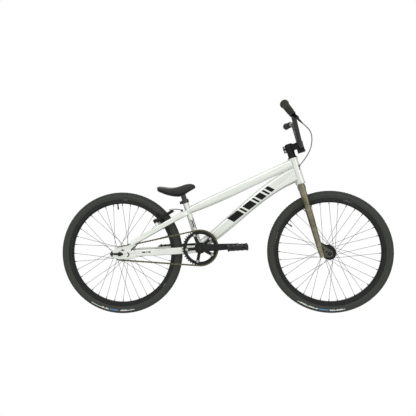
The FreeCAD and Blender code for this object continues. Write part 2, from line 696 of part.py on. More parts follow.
part("chainring", chainring())
part("chainring_bolts", chainring_bolts())
part("crank_arm_right", right_crank(), CRANKED)
part("crank_arm_left", left_crank(), CRANKED)
part("crank_spindle", spindle())
part("pedal_axles", pedal_axles(), CRANKED)
part("pedal_right", pedal("right", -1, 1), CRANKED)
part("pedal_left", pedal("left", 1, -1), CRANKED)


# ---------------------------------------------------------------- frame

HEAD_HALF = dim("head_tube_length") / 2
HEAD_LOW = on_fork(-HEAD_HALF, 0)
SEAT_JOIN = SEAT_FOOT + SEAT_UP * 186
STAY_TILT = math.radians(29.4)
STAY_UP = Vector(math.cos(STAY_TILT), 0, math.sin(STAY_TILT))
STAY_OFF = Vector(-math.sin(STAY_TILT), 0, math.cos(STAY_TILT))
BRAKE_EYE = Vector(-334, 0, 454)
CABLE_PORT, CABLE_LAST = on_fork(20, 18, -12.5), Vector(381, -26, 738)
REAR_PORT = Vector(-207, -16, 503)


def head_tube():
    """The head tube, thickened at both ends where the bearings seat."""
    half, radius, bore = HEAD_HALF, dim("head_tube_radius"), dim("bearing_radius")
    lip, lip_length = radius + 1.6, 9.0
    profile = [(bore, -half), (lip, -half), (lip, lip_length - half), (radius, lip_length + 3 - half),
               (radius, half - lip_length - 3), (lip, half - lip_length), (lip, half), (bore, half)]
    inward = (CABLE_PORT - CABLE_LAST).normalize()
    port = cylinder("head_cable_port", CABLE_PORT - inward * 6, inward, "@cable_radius + 0.4", "12")
    return cut("head_tube_body", turned("head_tube_shell", profile, HEAD, STEER_UP), port)


def seat_tube():
    """A plain tube from the bottom bracket up past the top tube, slotted behind for its clamp."""
    outer = cylinder("seat_tube_outer", SEAT_FOOT, SEAT_UP, "@seat_tube_radius", "@seat_tube_top")
    bore = cylinder("seat_tube_bore", SEAT_FOOT, SEAT_UP, "@post_radius + @running_gap", "300")
    shell = cylinder("seat_tube_mitre", BB - Y_AXIS * 60, Y_AXIS, "@bb_shell_radius", "120")
    slot_foot = SEAT_FOOT + SEAT_UP * (dim("seat_tube_top") - 26) - Y_AXIS * 0.9
    slot = box("seat_tube_slot", slot_foot, "20", "1.8", "30", Rotation(Z_AXIS, SEAT_UP))
    slot.Placement = Placement(slot_foot, Rotation(Y_AXIS, dim("seat_tube_angle") - 90)
                               .multiply(Rotation(Z_AXIS, 180)))
    return cut("seat_tube_body", outer, bore, shell, slot)


def tube_between(name, stations, corner, *mitres):
    """A hollow shaped tube, mitred to its neighbours."""
    outer, inner = shaped_tube(name, stations, corner, dim("tube_wall"))
    return outer, cut(f"{name}_body", outer, inner, *mitres)


head_mitre = cylinder("head_mitre", HEAD_LOW - STEER_UP * 60, STEER_UP, "@head_tube_radius + 1.6",
                      "@head_tube_length + 120")
seat_mitre = cylinder("seat_mitre", SEAT_FOOT, SEAT_UP, "@seat_tube_radius", "@seat_tube_top")
bb_mitre = cylinder("bb_mitre", BB - Y_AXIS * 60, Y_AXIS, "@bb_shell_radius", "120")

TT_WIDE, TT_DEEP = dim("top_tube_width"), dim("top_tube_depth")
TOP_STATIONS = [(SEAT_JOIN, 32, 33), (Vector(-72, 0, 546), TT_WIDE, TT_DEEP),
                (Vector(176, 0, 658.5), TT_WIDE, TT_DEEP), (on_fork(42, -8), 40, 46)]
DT_WIDE, DT_DEEP = dim("down_tube_width"), dim("down_tube_depth")
DOWN_STATIONS = [(BB + Vector(-2, 0, 8), DT_WIDE + 4, DT_DEEP - 8), (Vector(28, 0, 446), DT_WIDE, DT_DEEP),
                 (Vector(222, 0, 605), DT_WIDE, DT_DEEP + 8), (on_fork(-14, -8), 40, 75)]

top_outer, top_tube = tube_between("top_tube", TOP_STATIONS, 13.0, head_mitre, seat_mitre)
_, down_tube = tube_between("down_tube", DOWN_STATIONS, 14.0, head_mitre, bb_mitre, seat_mitre, top_outer)



def dropout_outline():
    """The side view of a rear end: a plate with a rearward axle slot, drawn clockwise."""
    tail, nose = REAR_AXLE.x - 34, REAR_AXLE.x + 84
    base = REAR_AXLE.z
    return [Vector(tail, 0, base - 17), Vector(tail, 0, base + 12), Vector(tail + 16, 0, base + 29),
            Vector(nose - 40, 0, base + 41), Vector(nose - 20, 0, base + 52), Vector(nose - 8, 0, base + 45),
            Vector(nose - 31, 0, base + 22), Vector(nose - 30, 0, base + 15), Vector(nose, 0, base + 19),
            Vector(nose, 0, base - 9), Vector(nose - 22, 0, base - 24), Vector(tail + 30, 0, base - 25)]


def dropout(name, side):
    """A rear end: the plate, its axle slot, a round-ended window and the tensioner's screw hole."""
    outline = dropout_outline()
    edges = Part.makePolygon(outline + outline[:1])
    thick = dim("dropout_thickness")
    low = DROPOUT_FACE if side > 0 else -DROPOUT_FACE - thick
    plate = doc.addObject("Part::Extrusion", f"dropout_{name}_plate")
    plate.Base = feature(f"dropout_{name}_outline", edges)
    plate.Dir = Y_AXIS
    plate.DirMode = "Custom"
    plate.Solid = True
    bind(plate, LengthFwd="@dropout_thickness")
    plate.Placement = Placement(Y_AXIS * low, Rotation())
    start = REAR_AXLE + Y_AXIS * (low - 1)
    slot_half = dim("axle_radius") + 0.2
    slot = box(f"dropout_{name}_slot", start + Vector(-50, 0, -slot_half), "62", str(thick + 2),
               str(2 * slot_half))
    slot_end = cylinder(f"dropout_{name}_slot_end", start + Vector(12, 0, 0), Y_AXIS,
                        "@axle_radius + 0.2", str(thick + 2))
    window = doc.addObject("Part::Extrusion", f"dropout_{name}_window")
    triangle = [start + Vector(4, 0, 16), start + Vector(26, 0, 16), start + Vector(15, 0, 24)]
    window.Base = feature(f"dropout_{name}_triangle", Part.makePolygon(triangle + triangle[:1]))
    window.Dir = Y_AXIS
    window.DirMode = "Custom"
    window.Solid = True
    bind(window, LengthFwd="@dropout_thickness + 2")
    chevron = doc.addObject("Part::Extrusion", f"dropout_{name}_arrow")
    arrow = [start + Vector(34, 0, 8), start + Vector(42, 0, -3), start + Vector(34, 0, -15),
             start + Vector(39, 0, -15), start + Vector(49, 0, -3), start + Vector(41, 0, 8)]
    chevron.Base = feature(f"dropout_{name}_arrow_outline", Part.makePolygon(arrow + arrow[:1]))
    chevron.Dir = Y_AXIS
    chevron.DirMode = "Custom"
    chevron.Solid = True
    bind(chevron, LengthFwd="@dropout_thickness + 2")
    return cut(f"dropout_{name}_body", plate, slot, slot_end, window, chevron)


STAY_DEEP, STAY_WIDE, CHAIN_DEEP = dim("stay_depth"), dim("stay_width"), dim("chain_stay_depth")


def seat_stay(name, side, plate):
    """A slim stay that bows round the tyre, with the post its brake arm turns on."""
    stations = [(SEAT_JOIN + Vector(-2, side * 14, -6), STAY_WIDE, STAY_DEEP + 2),
                (Vector(-244, side * 36, 461), STAY_WIDE, STAY_DEEP),
                (Vector(-330, side * 46, 412.5), STAY_WIDE, STAY_DEEP - 1),
                (Vector(-446, side * 58, 347), 12, STAY_DEEP - 4)]
    sections = [rounded_section(f"seat_stay_{name}_{n}", centre, Vector(-1, 0, -0.563), width, depth, 5.0)
                for n, (centre, width, depth) in enumerate(stations)]
    blade = loft(f"seat_stay_{name}_blade", sections)
    eye = BRAKE_EYE + Y_AXIS * side * dim("brake_pivot_spread")
    base = cylinder(f"boss_base_{name}", eye - STAY_OFF * 34, STAY_OFF, "7.5", "24")
    post = cylinder(f"boss_post_{name}", eye - STAY_OFF * 12, STAY_OFF, "4", "20")
    tip = cylinder(f"boss_bolt_{name}", eye + STAY_OFF * 7.3, STAY_OFF, "6.5", "4")
    solid = fuse(f"seat_stay_{name}_blank", blade, base, post, tip)
    return cut(f"seat_stay_{name}_body", solid, seat_mitre, top_outer, plate)


def chain_stay(name, side, plate):
    """A deep stay, slim beside the ring and the tyre."""
    stations = [(BB + Vector(-10, side * 27, -9), 12, CHAIN_DEEP), (Vector(-203, side * 32, 310.6), 11, CHAIN_DEEP + 1),
                (Vector(-245, side * 39, 308.6), 13, CHAIN_DEEP + 1), (Vector(-425, side * 57, 302), 13, CHAIN_DEEP - 1)]
    sections = [rounded_section(f"chain_stay_{name}_{n}", centre, Vector(-1, 0, -0.035), width, depth, 4.5)
                for n, (centre, width, depth) in enumerate(stations)]
    return cut(f"chain_stay_{name}_body", loft(f"chain_stay_{name}_blade", sections), bb_mitre, plate)


def bridges():
    """The two short tubes that tie the stays together, one below and one above the tyre."""
    low = cylinder("low_bridge", Vector(-188, -26, 311), Y_AXIS, "8", "52")
    high = cylinder("high_bridge", Vector(-222, -23, 474), Y_AXIS, "7", "46")
    return group("bridge_pair", low, high)


part("head_tube", head_tube())
part("top_tube", top_tube)
part("down_tube", down_tube)
part("seat_tube", seat_tube())
part("bb_shell", cut("bb_shell_body",
                     cylinder("bb_shell_outer", BB - Y_AXIS * dim("bb_shell_width") / 2, Y_AXIS,
                              "@bb_shell_radius", "@bb_shell_width"),
                     cylinder("bb_shell_bore", BB - Y_AXIS * 50, Y_AXIS, "17.4", "100")))
stay_solids = []
for side_name, side_sign in mirrored_sides():
    plate_part = dropout(side_name, side_sign)
    part(f"dropout_{side_name}", plate_part)
    stay_solids.append(part(f"seat_stay_{side_name}", seat_stay(side_name, side_sign, plate_part)))
    stay_solids.append(part(f"chain_stay_{side_name}", chain_stay(side_name, side_sign, plate_part)))
part("stay_bridges", cut("bridges_body", bridges(), *stay_solids))


def bottom_bracket_cups():
    """Outboard bearing cups: threaded into the shell, with the bearing that carries the spindle."""
    cups = []
    half = dim("bb_shell_width") / 2
    bore = dim("spindle_radius") + dim("running_gap")
    for name, side in mirrored_sides():
        profile = [(bore, side * (half - 10)), (17.4, side * (half - 10)), (17.4, side * half),
                   (dim("bb_cup_radius"), side * half), (dim("bb_cup_radius"), side * (half + 9)),
                   (19, side * (half + 10.8)), (bore, side * (half + 10.8))]
        cups.append(turned(f"bb_cup_{name}", profile, BB))
    return group("bb_cups", *cups)


def headset_bearings():
    """The two angular bearings, flush in the ends of the head tube."""
    inner, outer, half = dim("steerer_radius") + dim("running_gap"), dim("bearing_radius"), HEAD_HALF
    rings = []
    for name, start in (("lower", -half), ("upper", half - 8)):
        profile = [(inner, start), (outer, start), (outer, start + 8), (inner, start + 8)]
        rings.append(turned(f"headset_{name}", profile, HEAD, STEER_UP))
    return group("headset_pair", *rings)


def seat_clamp():
    """The collar round the top of the seat tube, with ears and a pinch bolt behind."""
    top = dim("seat_tube_top")
    start = SEAT_FOOT + SEAT_UP * (top - dim("clamp_length") + 1)
    ring = cylinder("clamp_ring", start, SEAT_UP, "18.5", "@clamp_length")
    back = Rotation(Y_AXIS, dim("seat_tube_angle") - 90)
    ears = box("clamp_ears", start + back.multVec(Vector(-27, -6.5, 2)), "12", "13", "@clamp_length - 4", back)
    bore = cylinder("clamp_bore", start - SEAT_UP, SEAT_UP, "@seat_tube_radius", "@clamp_length")
    lip = cylinder("clamp_lip", start - SEAT_UP, SEAT_UP, "@post_radius + 0.4", "40")
    split = box("clamp_split", start + back.multVec(Vector(-30, -0.9, -1)), "26", "1.8",
                "@clamp_length + 2", back)
    return cut("clamp_body", fuse("clamp_blank", ring, ears), bore, lip, split)


def chain_tensioners():
    """A cap across the open end of each axle slot, with the screw that draws the axle back."""
    tensioners = []
    for name, side in mirrored_sides():
        middle = side * (DROPOUT_FACE + dim("dropout_thickness") / 2)
        tail = REAR_AXLE + Vector(-34, middle, 0)
        cap = box(f"tensioner_cap_{name}", tail + Vector(-7, -6, -12.5), "7", "12", "25")
        screw = cylinder(f"tensioner_screw_{name}", tail + Vector(-12, 0, 0), X_AXIS, "2.4", "40")
        nut = cylinder(f"tensioner_nut_{name}", tail + Vector(-12, 0, 0), X_AXIS, "5", "5")
        tensioners.append(fuse(f"tensioner_{name}", cap, screw, nut))
    return cut("tensioner_pair", group("tensioner_group", *tensioners),
               cylinder("tensioner_axle", REAR_AXLE - Y_AXIS * 80, Y_AXIS, "@axle_radius", "160"))


part("bottom_bracket_cups", bottom_bracket_cups())
part("headset_bearings", headset_bearings())
part("seat_clamp", seat_clamp())
part("chain_tensioners", chain_tensioners())


# ---------------------------------------------------------------- seat

POST_TOP = SEAT_FOOT + SEAT_UP * 272


def saddle_stations():
    """Cross-sections from tail to nose: (x, top, bottom, half width)."""
    nose, long, wide = -138.0, dim("saddle_length"), dim("saddle_width") / 2
    shape = [(1.0, 615, 602, 0.55), (0.87, 617, 589, 0.92), (0.66, 613, 576, 1.0), (0.42, 620, 571, 0.66),
             (0.2, 629, 592, 0.38), (0.02, 621, 611, 0.22)]
    return [(nose - share * long, top, bottom, wide * part_width) for share, top, bottom, part_width in shape]


def saddle_form(name):
    """The whole saddle: a rounded shape, wide and raised at the tail, slim at the nose."""
    sections = []
    for n, (x, top, bottom, half) in enumerate(saddle_stations()):
        high = top - bottom
        corner = min(0.42 * high, 0.84 * half, 12.0)
        sections.append(rounded_section(f"{name}_{n}", Vector(x, 0, (top + bottom) / 2), X_AXIS, 2 * half,
                                        high, corner))
    return loft(name, sections)


def saddle_split(name):
    """The room below the seam between the cover and the plastic base, right across the saddle."""
    seam = [Vector(x, 0, bottom + 0.36 * (top - bottom)) for x, top, bottom, _ in saddle_stations()]
    tail, nose = seam[0] - X_AXIS * 20, seam[-1] + X_AXIS * 20
    outline = [tail] + seam + [nose, nose - Z_AXIS * 90, tail - Z_AXIS * 90]
    room = doc.addObject("Part::Extrusion", name)
    room.Base = feature(name + "_outline", Part.makePolygon(outline + outline[:1]))
    room.Dir = Y_AXIS
    room.DirMode = "Custom"
    room.Solid = True
    bind(room, LengthFwd="@saddle_width + 40")
    room.Placement = Placement(Y_AXIS * (-dim("saddle_width") / 2 - 20), Rotation())
    return room


def seat_post():
    """The post with the swivel head that the saddle bolts down onto."""
    foot = POST_TOP - SEAT_UP * dim("post_length")
    return cylinder("seat_post_bar", foot, SEAT_UP, "@post_radius", "@post_length")


saddle_whole, saddle_below = saddle_form("saddle_whole"), saddle_split("saddle_below")
post_mitre = cylinder("post_mitre", POST_TOP - SEAT_UP * 60, SEAT_UP, "@post_radius", "60")
saddle_shell = doc.addObject("Part::Common", "saddle_shell")
saddle_shell.Base = saddle_whole
saddle_shell.Tool = saddle_below
part("seat_post", seat_post())
part("saddle_base", cut("saddle_base_body", saddle_shell, post_mitre))
part("saddle_cover", cut("saddle_cover_body", saddle_whole, saddle_below, post_mitre))


# ---------------------------------------------------------------- fork

CROWN_TOP, CROWN_HIGH = -dim("crown_drop"), 30.0
AXLE_AHEAD = dim("fork_offset")
LEG_FOOT_RISE = -AXLE_DROP - 4.0
LEG_AHEAD = -6.0
STEM_TOP = 133.0


def fork_crown():
    """The steerer and the crown it is pressed into: a rounded bridge between the two legs."""
    tube = cylinder("steerer_tube", on_fork(CROWN_TOP, 0), STEER_UP, "@steerer_radius",
                    str(STEM_TOP - 3 - CROWN_TOP))
    bore = cylinder("steerer_bore", on_fork(CROWN_TOP + 5, 0), STEER_UP, "@steerer_radius - 2.4", "300")
    race = cylinder("crown_race", on_fork(CROWN_TOP, 0), STEER_UP, "22", "2.6")
    middle, end = CROWN_TOP - CROWN_HIGH / 2, dim("leg_top_spread")
    sections = []
    for n, (side, high, deep) in enumerate(((-end, 22, 26), (-18, CROWN_HIGH, 38), (18, CROWN_HIGH, 38),
                                            (end, 22, 26))):
        centre = on_fork(middle + 0.5 * (CROWN_HIGH - high), -1, side)
        corner = 9.0
        ring = []
        for across, up in ((1, 1), (-1, 1), (-1, -1), (1, -1)):
            ring.append((across * deep / 2, up * high / 2))
        sections.append(crown_section(f"crown_{n}", centre, ring, corner))
    bridge = loft("crown_bridge", sections)
    return cut("fork_crown_body", fuse("fork_crown_blank", tube, race, bridge), bore)


def crown_section(name, centre, ring, corner):
    """A rounded rectangle across the wheel's width, in the plane of the steering axis."""
    edges, first, last = [], None, None
    for index, (across, up) in enumerate(ring):
        begin = (across, up - math.copysign(corner, up))
        end = (across - math.copysign(corner, across), up)
        if index % 2:
            begin, end = end, begin
        slack = corner * (1 - math.sqrt(0.5))
        middle = (across - math.copysign(slack, across), up - math.copysign(slack, up))
        points = [centre + STEER_AHEAD * a + STEER_UP * b for a, b in (begin, middle, end)]
        if last is not None:
            edges.append(Part.LineSegment(last, points[0]).toShape())
        edges.append(Part.Arc(*points).toShape())
        first = first or points[0]
        last = points[2]
    edges.append(Part.LineSegment(last, first).toShape())
    return feature(name, Part.Wire(edges))


def leg_line(side):
    top = on_fork(CROWN_TOP - 2, -1, side * dim("leg_top_spread"))
    foot = on_fork(LEG_FOOT_RISE, LEG_AHEAD, side * dim("leg_bottom_spread"))
    return top, foot


def fork_leg(name, side, crown, plates):
    """A straight tapered leg, closed at both ends."""
    top, foot = leg_line(side)
    run = foot - top
    outer = cone(f"leg_{name}_outer", top, run, "@leg_top_radius", "@leg_bottom_radius", str(run.Length))
    unit = Vector(run).normalize()
    inner = cone(f"leg_{name}_inner", top + unit * 4, run, "@leg_top_radius - 2.2",
                 "@leg_bottom_radius - 2.2", str(run.Length - 8))
    return cut(f"leg_{name}_body", outer, inner, crown, plates)


def fork_plates():
    """The forward plates that hold the axle, each with two round lightening holes."""
    plates = []
    thick = dim("fork_plate")
    for name, side in mirrored_sides():
        low = FORK_FACE if side > 0 else -FORK_FACE - thick
        rise = -AXLE_DROP
        points = [(rise + 62, LEG_AHEAD - 4), (rise + 58, LEG_AHEAD + 8), (rise + 24, AXLE_AHEAD + 4),
                  (rise + 10, AXLE_AHEAD + 15), (rise - 6, AXLE_AHEAD + 16), (rise - 17, AXLE_AHEAD + 5),
                  (rise - 14, AXLE_AHEAD - 14), (rise - 3, LEG_AHEAD - 4)]
        outline = [on_fork(up, ahead, low) for up, ahead in points]
        plate = doc.addObject("Part::Extrusion", f"fork_plate_{name}")
        plate.Base = feature(f"fork_plate_{name}_outline", Part.makePolygon(outline + outline[:1]))
        plate.Dir = Y_AXIS
        plate.DirMode = "Custom"
        plate.Solid = True
        bind(plate, LengthFwd="@fork_plate")
        holes = [cylinder(f"fork_eye_{name}", FRONT_AXLE + Y_AXIS * (low - 1), Y_AXIS, "@axle_radius", "8")]
        for n, (up, ahead) in enumerate(((28, 10), (14, 20))):
            holes.append(cylinder(f"fork_hole_{name}_{n}", on_fork(rise + up, ahead, low - 1), Y_AXIS,
                                  "3.4", "8"))
        plates.append(cut(f"fork_plate_{name}_body", plate, *holes))
    return group("fork_plate_pair", *plates)


crown = fork_crown()
fork_plate_pair = fork_plates()
fork_parts = {f"fork_leg_{n}": fork_leg(n, s, crown, fork_plate_pair) for n, s in mirrored_sides()}


def headset_spacers():
    """The conical upper cover, three spacers and the top cap with its bolt."""
    bore = dim("steerer_radius")
    stack = [("cover", HEAD_HALF + 0.4, 8.0, 24.0, 18.5), ("spacer_1", HEAD_HALF + 8.4, 10.0, 18.0, 18.0),
             ("spacer_2", HEAD_HALF + 18.4, 10.0, 18.0, 18.0), ("spacer_3", HEAD_HALF + 28.4, 3.6, 18.0, 18.0)]
    pieces = []
    for name, start, high, low_radius, high_radius in stack:
        profile = [(bore, start), (low_radius, start), (high_radius, start + high), (bore, start + high)]
        pieces.append(turned(f"headset_{name}", profile, HEAD, STEER_UP))
    cap = turned("top_cap", [(0, STEM_TOP), (18, STEM_TOP), (16, STEM_TOP + 3.5), (5, STEM_TOP + 3.5),
                             (5, STEM_TOP + 2), (0, STEM_TOP + 2)], HEAD, STEER_UP)
    return group("headset_stack", *pieces, cap)


BAR_RISE, BAR_AHEAD = dim("stem_rise"), dim("stem_reach")
STEM_LOW = HEAD_HALF + 32.0


def fork_box(name, rise, ahead, side, deep, wide, high):
    """A box with one face square to the steering axis, its corner at rise, ahead and side."""
    turn = Rotation(Vector(STEER_AHEAD), Y_AXIS, Vector(STEER_UP), "XYZ")
    return box(name, on_fork(rise, ahead, side), str(deep), str(wide), str(high), turn)


def stem():
    """A front-loading stem: the steerer clamp, a waisted bridge and the bar seat."""
    steerer_block = turned("stem_clamp", [(0, STEM_LOW), (19.5, STEM_LOW), (21, STEM_LOW + 3), (21, STEM_TOP - 3),
                                          (19.5, STEM_TOP), (0, STEM_TOP)], HEAD, STEER_UP)
    ears = fork_box("stem_ears", STEM_LOW + 2, -31, -13, 20, 26, STEM_TOP - STEM_LOW - 4)
    bridge = fork_box("stem_bridge", STEM_LOW + 3, 10, -17, 30, 34, STEM_TOP - STEM_LOW - 6)
    seat_block = fork_box("stem_seat", BAR_RISE - 25, BAR_AHEAD - 19, -27, 18, 54, 52)
    blank = fuse("stem_blank", steerer_block, ears, bridge, seat_block)
    steerer_bore = cylinder("stem_bore", on_fork(STEM_LOW - 1, 0), STEER_UP, "@steerer_radius", "80")
    bar_bore = cylinder("stem_bar_bore", on_fork(BAR_RISE, BAR_AHEAD, -40), Y_AXIS, "@bar_radius", "80")
    split = fork_box("stem_split", STEM_LOW - 1, -32, -1.2, 22, 2.4, 60)
    pocket_1 = fork_box("stem_pocket_right", STEM_LOW + 8, 16, -18, 14, 7, STEM_TOP - STEM_LOW - 16)
    pocket_2 = fork_box("stem_pocket_left", STEM_LOW + 8, 16, 11, 14, 7, STEM_TOP - STEM_LOW - 16)
    return cut("stem_body", blank, steerer_bore, bar_bore, split, pocket_1, pocket_2)


def faceplate():
    plate = fork_box("faceplate_block", BAR_RISE - 25, BAR_AHEAD - 0.6, -27, 16, 54, 52)
    bore = cylinder("faceplate_bore", on_fork(BAR_RISE, BAR_AHEAD, -40), Y_AXIS, "@bar_radius", "80")
    window = fork_box("faceplate_window", BAR_RISE - 8, BAR_AHEAD + 6, -12, 12, 24, 16)
    sockets = [cylinder(f"faceplate_sink_{n}", on_fork(BAR_RISE + up, BAR_AHEAD + 13, side), STEER_AHEAD, "4.6", "5")
               for n, (up, side) in enumerate(bolt_places())]
    return cut("faceplate_body", plate, bore, window, *sockets)


def bolt_places():
    return [(up, side) for up in (-19, 21) for side in (-19, 19)]


def stem_bolts():
    """Four socket bolts in the faceplate and two across the steerer clamp."""
    bolts = []
    for n, (up, side) in enumerate(bolt_places()):
        head = cylinder(f"face_bolt_{n}", on_fork(BAR_RISE + up, BAR_AHEAD + 13, side), STEER_AHEAD, "4.5", "4.5")
        socket = prism(f"face_bolt_socket_{n}", on_fork(BAR_RISE + up, BAR_AHEAD + 15, side), STEER_AHEAD,
                       "2.4", "4")
        bolts.append(cut(f"face_bolt_body_{n}", head, socket))
    for n, rise in enumerate((STEM_LOW + 9, STEM_TOP - 9)):
        head = cylinder(f"pinch_bolt_{n}", on_fork(rise, -24, -13), Y_AXIS * -1, "4.5", "4")
        socket = prism(f"pinch_bolt_socket_{n}", on_fork(rise, -24, -15), Y_AXIS * -1, "2.4", "4")
        bolts.append(cut(f"pinch_bolt_body_{n}", head, socket))
    return group("stem_bolt_set", *bolts)


BAR_CORNER_LOW, BAR_CORNER_HIGH = (BAR_RISE, BAR_AHEAD, 47.0), (241.0, 57.0, 143.0)
BAR_END = (264.8, 26.6, dim("bar_half_width"))


def bar_point(place, side):
    rise, ahead, out = place
    return on_fork(rise, ahead, side * out)


def bar_line(side):
    """The outer straight of one side of the bar: its inner corner, its end and its direction."""
    corner, end = bar_point(BAR_CORNER_HIGH, side), bar_point(BAR_END, side)
    return corner, end, (end - corner).normalize()


def handlebar():
    """A bent bar with a crossbar: one path for the wall, one for the bore."""
    places = [(BAR_END, -1), (BAR_CORNER_HIGH, -1), (BAR_CORNER_LOW, -1), (BAR_CORNER_LOW, 1),
              (BAR_CORNER_HIGH, 1), (BAR_END, 1)]
    points = [bar_point(place, side) for place, side in places]
    path = rounded_path(points, [45.0, 42.0, 42.0, 45.0])
    outer = swept("bar_outer", path, "@bar_radius")
    inner = swept("bar_inner", path, "@bar_radius - @bar_wall")
    share = 0.62
    low, high = Vector(*BAR_CORNER_LOW), Vector(*BAR_CORNER_HIGH)
    rise, ahead, out = low + (high - low) * share
    cross = cylinder("bar_cross", on_fork(rise, ahead, -out), Y_AXIS, "@crossbar_radius", str(2 * out))
    return cut("handlebar_body", fuse("handlebar_blank", outer, cross), inner)


def grip(name, side):
    """A ribbed rubber grip closed at its outer end."""
    _, end, out = bar_line(side)
    long, radius, bore = dim("grip_length"), dim("grip_radius"), dim("bar_radius")
    cap = 4.0
    profile = [(bore, -long), (radius, -long), (radius, 4 - long)]
    ribs = 17
    step = (long - 14) / ribs
    for n in range(ribs):
        start = 6 - long + n * step
        profile += [(radius - 1.3, start), (radius - 0.1, start + 0.3 * step), (radius - 0.1, start + 0.7 * step)]
    profile += [(radius - 1.3, -7), (radius + 2.2, -5), (radius + 3, 1), (radius + 1.5, cap), (0, cap), (0, 0),
                (bore, 0)]
    return turned(f"grip_{name}_body", profile, end, out)


LEVER_HOLD = 184.0


def lever_frame():
    """Where the lever sits: its clamp's centre, outward along the bar, and away from the bar."""
    _, end, out = bar_line(-1)
    hold = end - out * LEVER_HOLD
    ahead = STEER_AHEAD * 0.5 - STEER_UP * 0.866
    away = (ahead - out * ahead.dot(out)).normalize()
    return hold, out, away


def lever_barrel():
    """Where the cable leaves the housing, and its direction: inward and away from the bar."""
    hold, out, away = lever_frame()
    return hold - out * 4 + away * 16, (away * 0.9 - out * 0.4).normalize()


BARREL_LONG = 42.0


def lever_bracket():
    """The clamp ring, the housing that carries the lever, and the cable's barrel adjuster."""
    hold, out, away = lever_frame()
    across = away.cross(out)
    ring = cylinder("lever_ring", hold - out * 6, out, "15", "12")
    turn = Rotation(out, across, away, "XYZ")
    arm = box("lever_arm", hold - out * 9 - across * 8 + away * 11, "36", "16", "19", turn)
    gap = box("lever_gap", hold + out * 8 - across * 4.2 + away * 14, "40", "8.4", "30", turn)
    start, along = lever_barrel()
    barrel = cylinder("lever_barrel", start, along, "4.6", str(BARREL_LONG - 8))
    ferrule = cylinder("lever_ferrule", start + along * (BARREL_LONG - 8), along, "3.6", "8")
    bore = cylinder("lever_bar_bore", hold - out * 20, out, "@bar_radius", "60")
    pin_hole = cylinder("lever_pin_hole", hold + out * 19 + away * 23 - across * 12, across, "2.5", "24")
    socket = cylinder("lever_cable_bore", start + along * BARREL_LONG, along * -1, "@cable_radius", "4")
    body = cut("lever_bracket_cut", fuse("lever_bracket_blank", ring, arm, barrel, ferrule), bore, gap,
               pin_hole, socket)
    pin = cylinder("lever_pin", hold + out * 19 + away * 23 - across * 8, across, "2.45", "16")
    return group("lever_bracket_group", body, pin)


def brake_lever():
    """The blade: an eye round the pin, a slim neck and a curved finger rest."""
    hold, out, away = lever_frame()
    across = away.cross(out)
    pin = hold + out * 19 + away * 23
    points = [pin + out * 3 + away * 3, pin + out * 14 + away * 14, pin + out * 40 + away * 31, pin + out * 84 + away * 32]
    path = rounded_path(points, [24.0, 40.0])
    blade = swept("lever_blade", path, "3.6")
    tip = doc.addObject("Part::Sphere", "lever_tip")
    bind(tip, Radius="5.2")
    tip.Placement = Placement(points[-1], Rotation())
    eye = cylinder("lever_eye", pin - across * 3.9, across, "6", "7.8")
    bore = cylinder("lever_eye_bore", pin - across * 10, across, "2.5 + @running_gap", "20")
    return cut("brake_lever_body", fuse("brake_lever_blank", blade, tip, eye), bore)


part("fork_crown", crown, STEERED)
for leg_name, leg in fork_parts.items():
    part(leg_name, leg, STEERED)
part("fork_dropouts", fork_plate_pair, STEERED)
part("headset_spacers", headset_spacers(), STEERED)
part("stem", stem(), STEERED)
part("stem_faceplate", faceplate(), STEERED)
part("stem_bolts", stem_bolts(), STEERED)
part("handlebar", handlebar(), STEERED)
for side_name, side_sign in mirrored_sides():
    part(f"grip_{side_name}", grip(side_name, side_sign), STEERED)
part("lever_bracket", lever_bracket(), STEERED)
part("brake_lever", brake_lever(), STEERED)


# ---------------------------------------------------------------- rear brake and its cable

ARM_LONG = dim("brake_arm_length")
PAD_ALONG = 21.5


def brake_arm(name, side):
    """A long brake arm, its hub running on the stay's post."""
    eye = BRAKE_EYE + Y_AXIS * side * dim("brake_pivot_spread")
    hub_solid = cylinder(f"arm_hub_{name}", eye - STAY_OFF * 9.5, STAY_OFF, "9", "16")
    sections = []
    for n, (along, wide, deep, shift) in enumerate(((4, 13, 14, 0), (PAD_ALONG, 12, 15, 0), (55, 9, 13, 2),
                                                    (ARM_LONG, 9, 10, 3))):
        centre = eye + STAY_UP * along - STAY_OFF * (1.5 - shift)
        sections.append(rounded_section(f"arm_{name}_{n}", centre, STAY_UP, wide, deep, 3.5))
    blade = loft(f"arm_{name}_blade", sections)
    bore = cylinder(f"arm_{name}_bore", eye - STAY_OFF * 20, STAY_OFF, "4 + @running_gap", "40")
    stud = cylinder(f"arm_{name}_stud_hole", eye + STAY_UP * PAD_ALONG - Y_AXIS * 20, Y_AXIS, "3.2", "40")
    return cut(f"brake_arm_{name}_body", fuse(f"brake_arm_{name}_blank", hub_solid, blade), bore, stud)


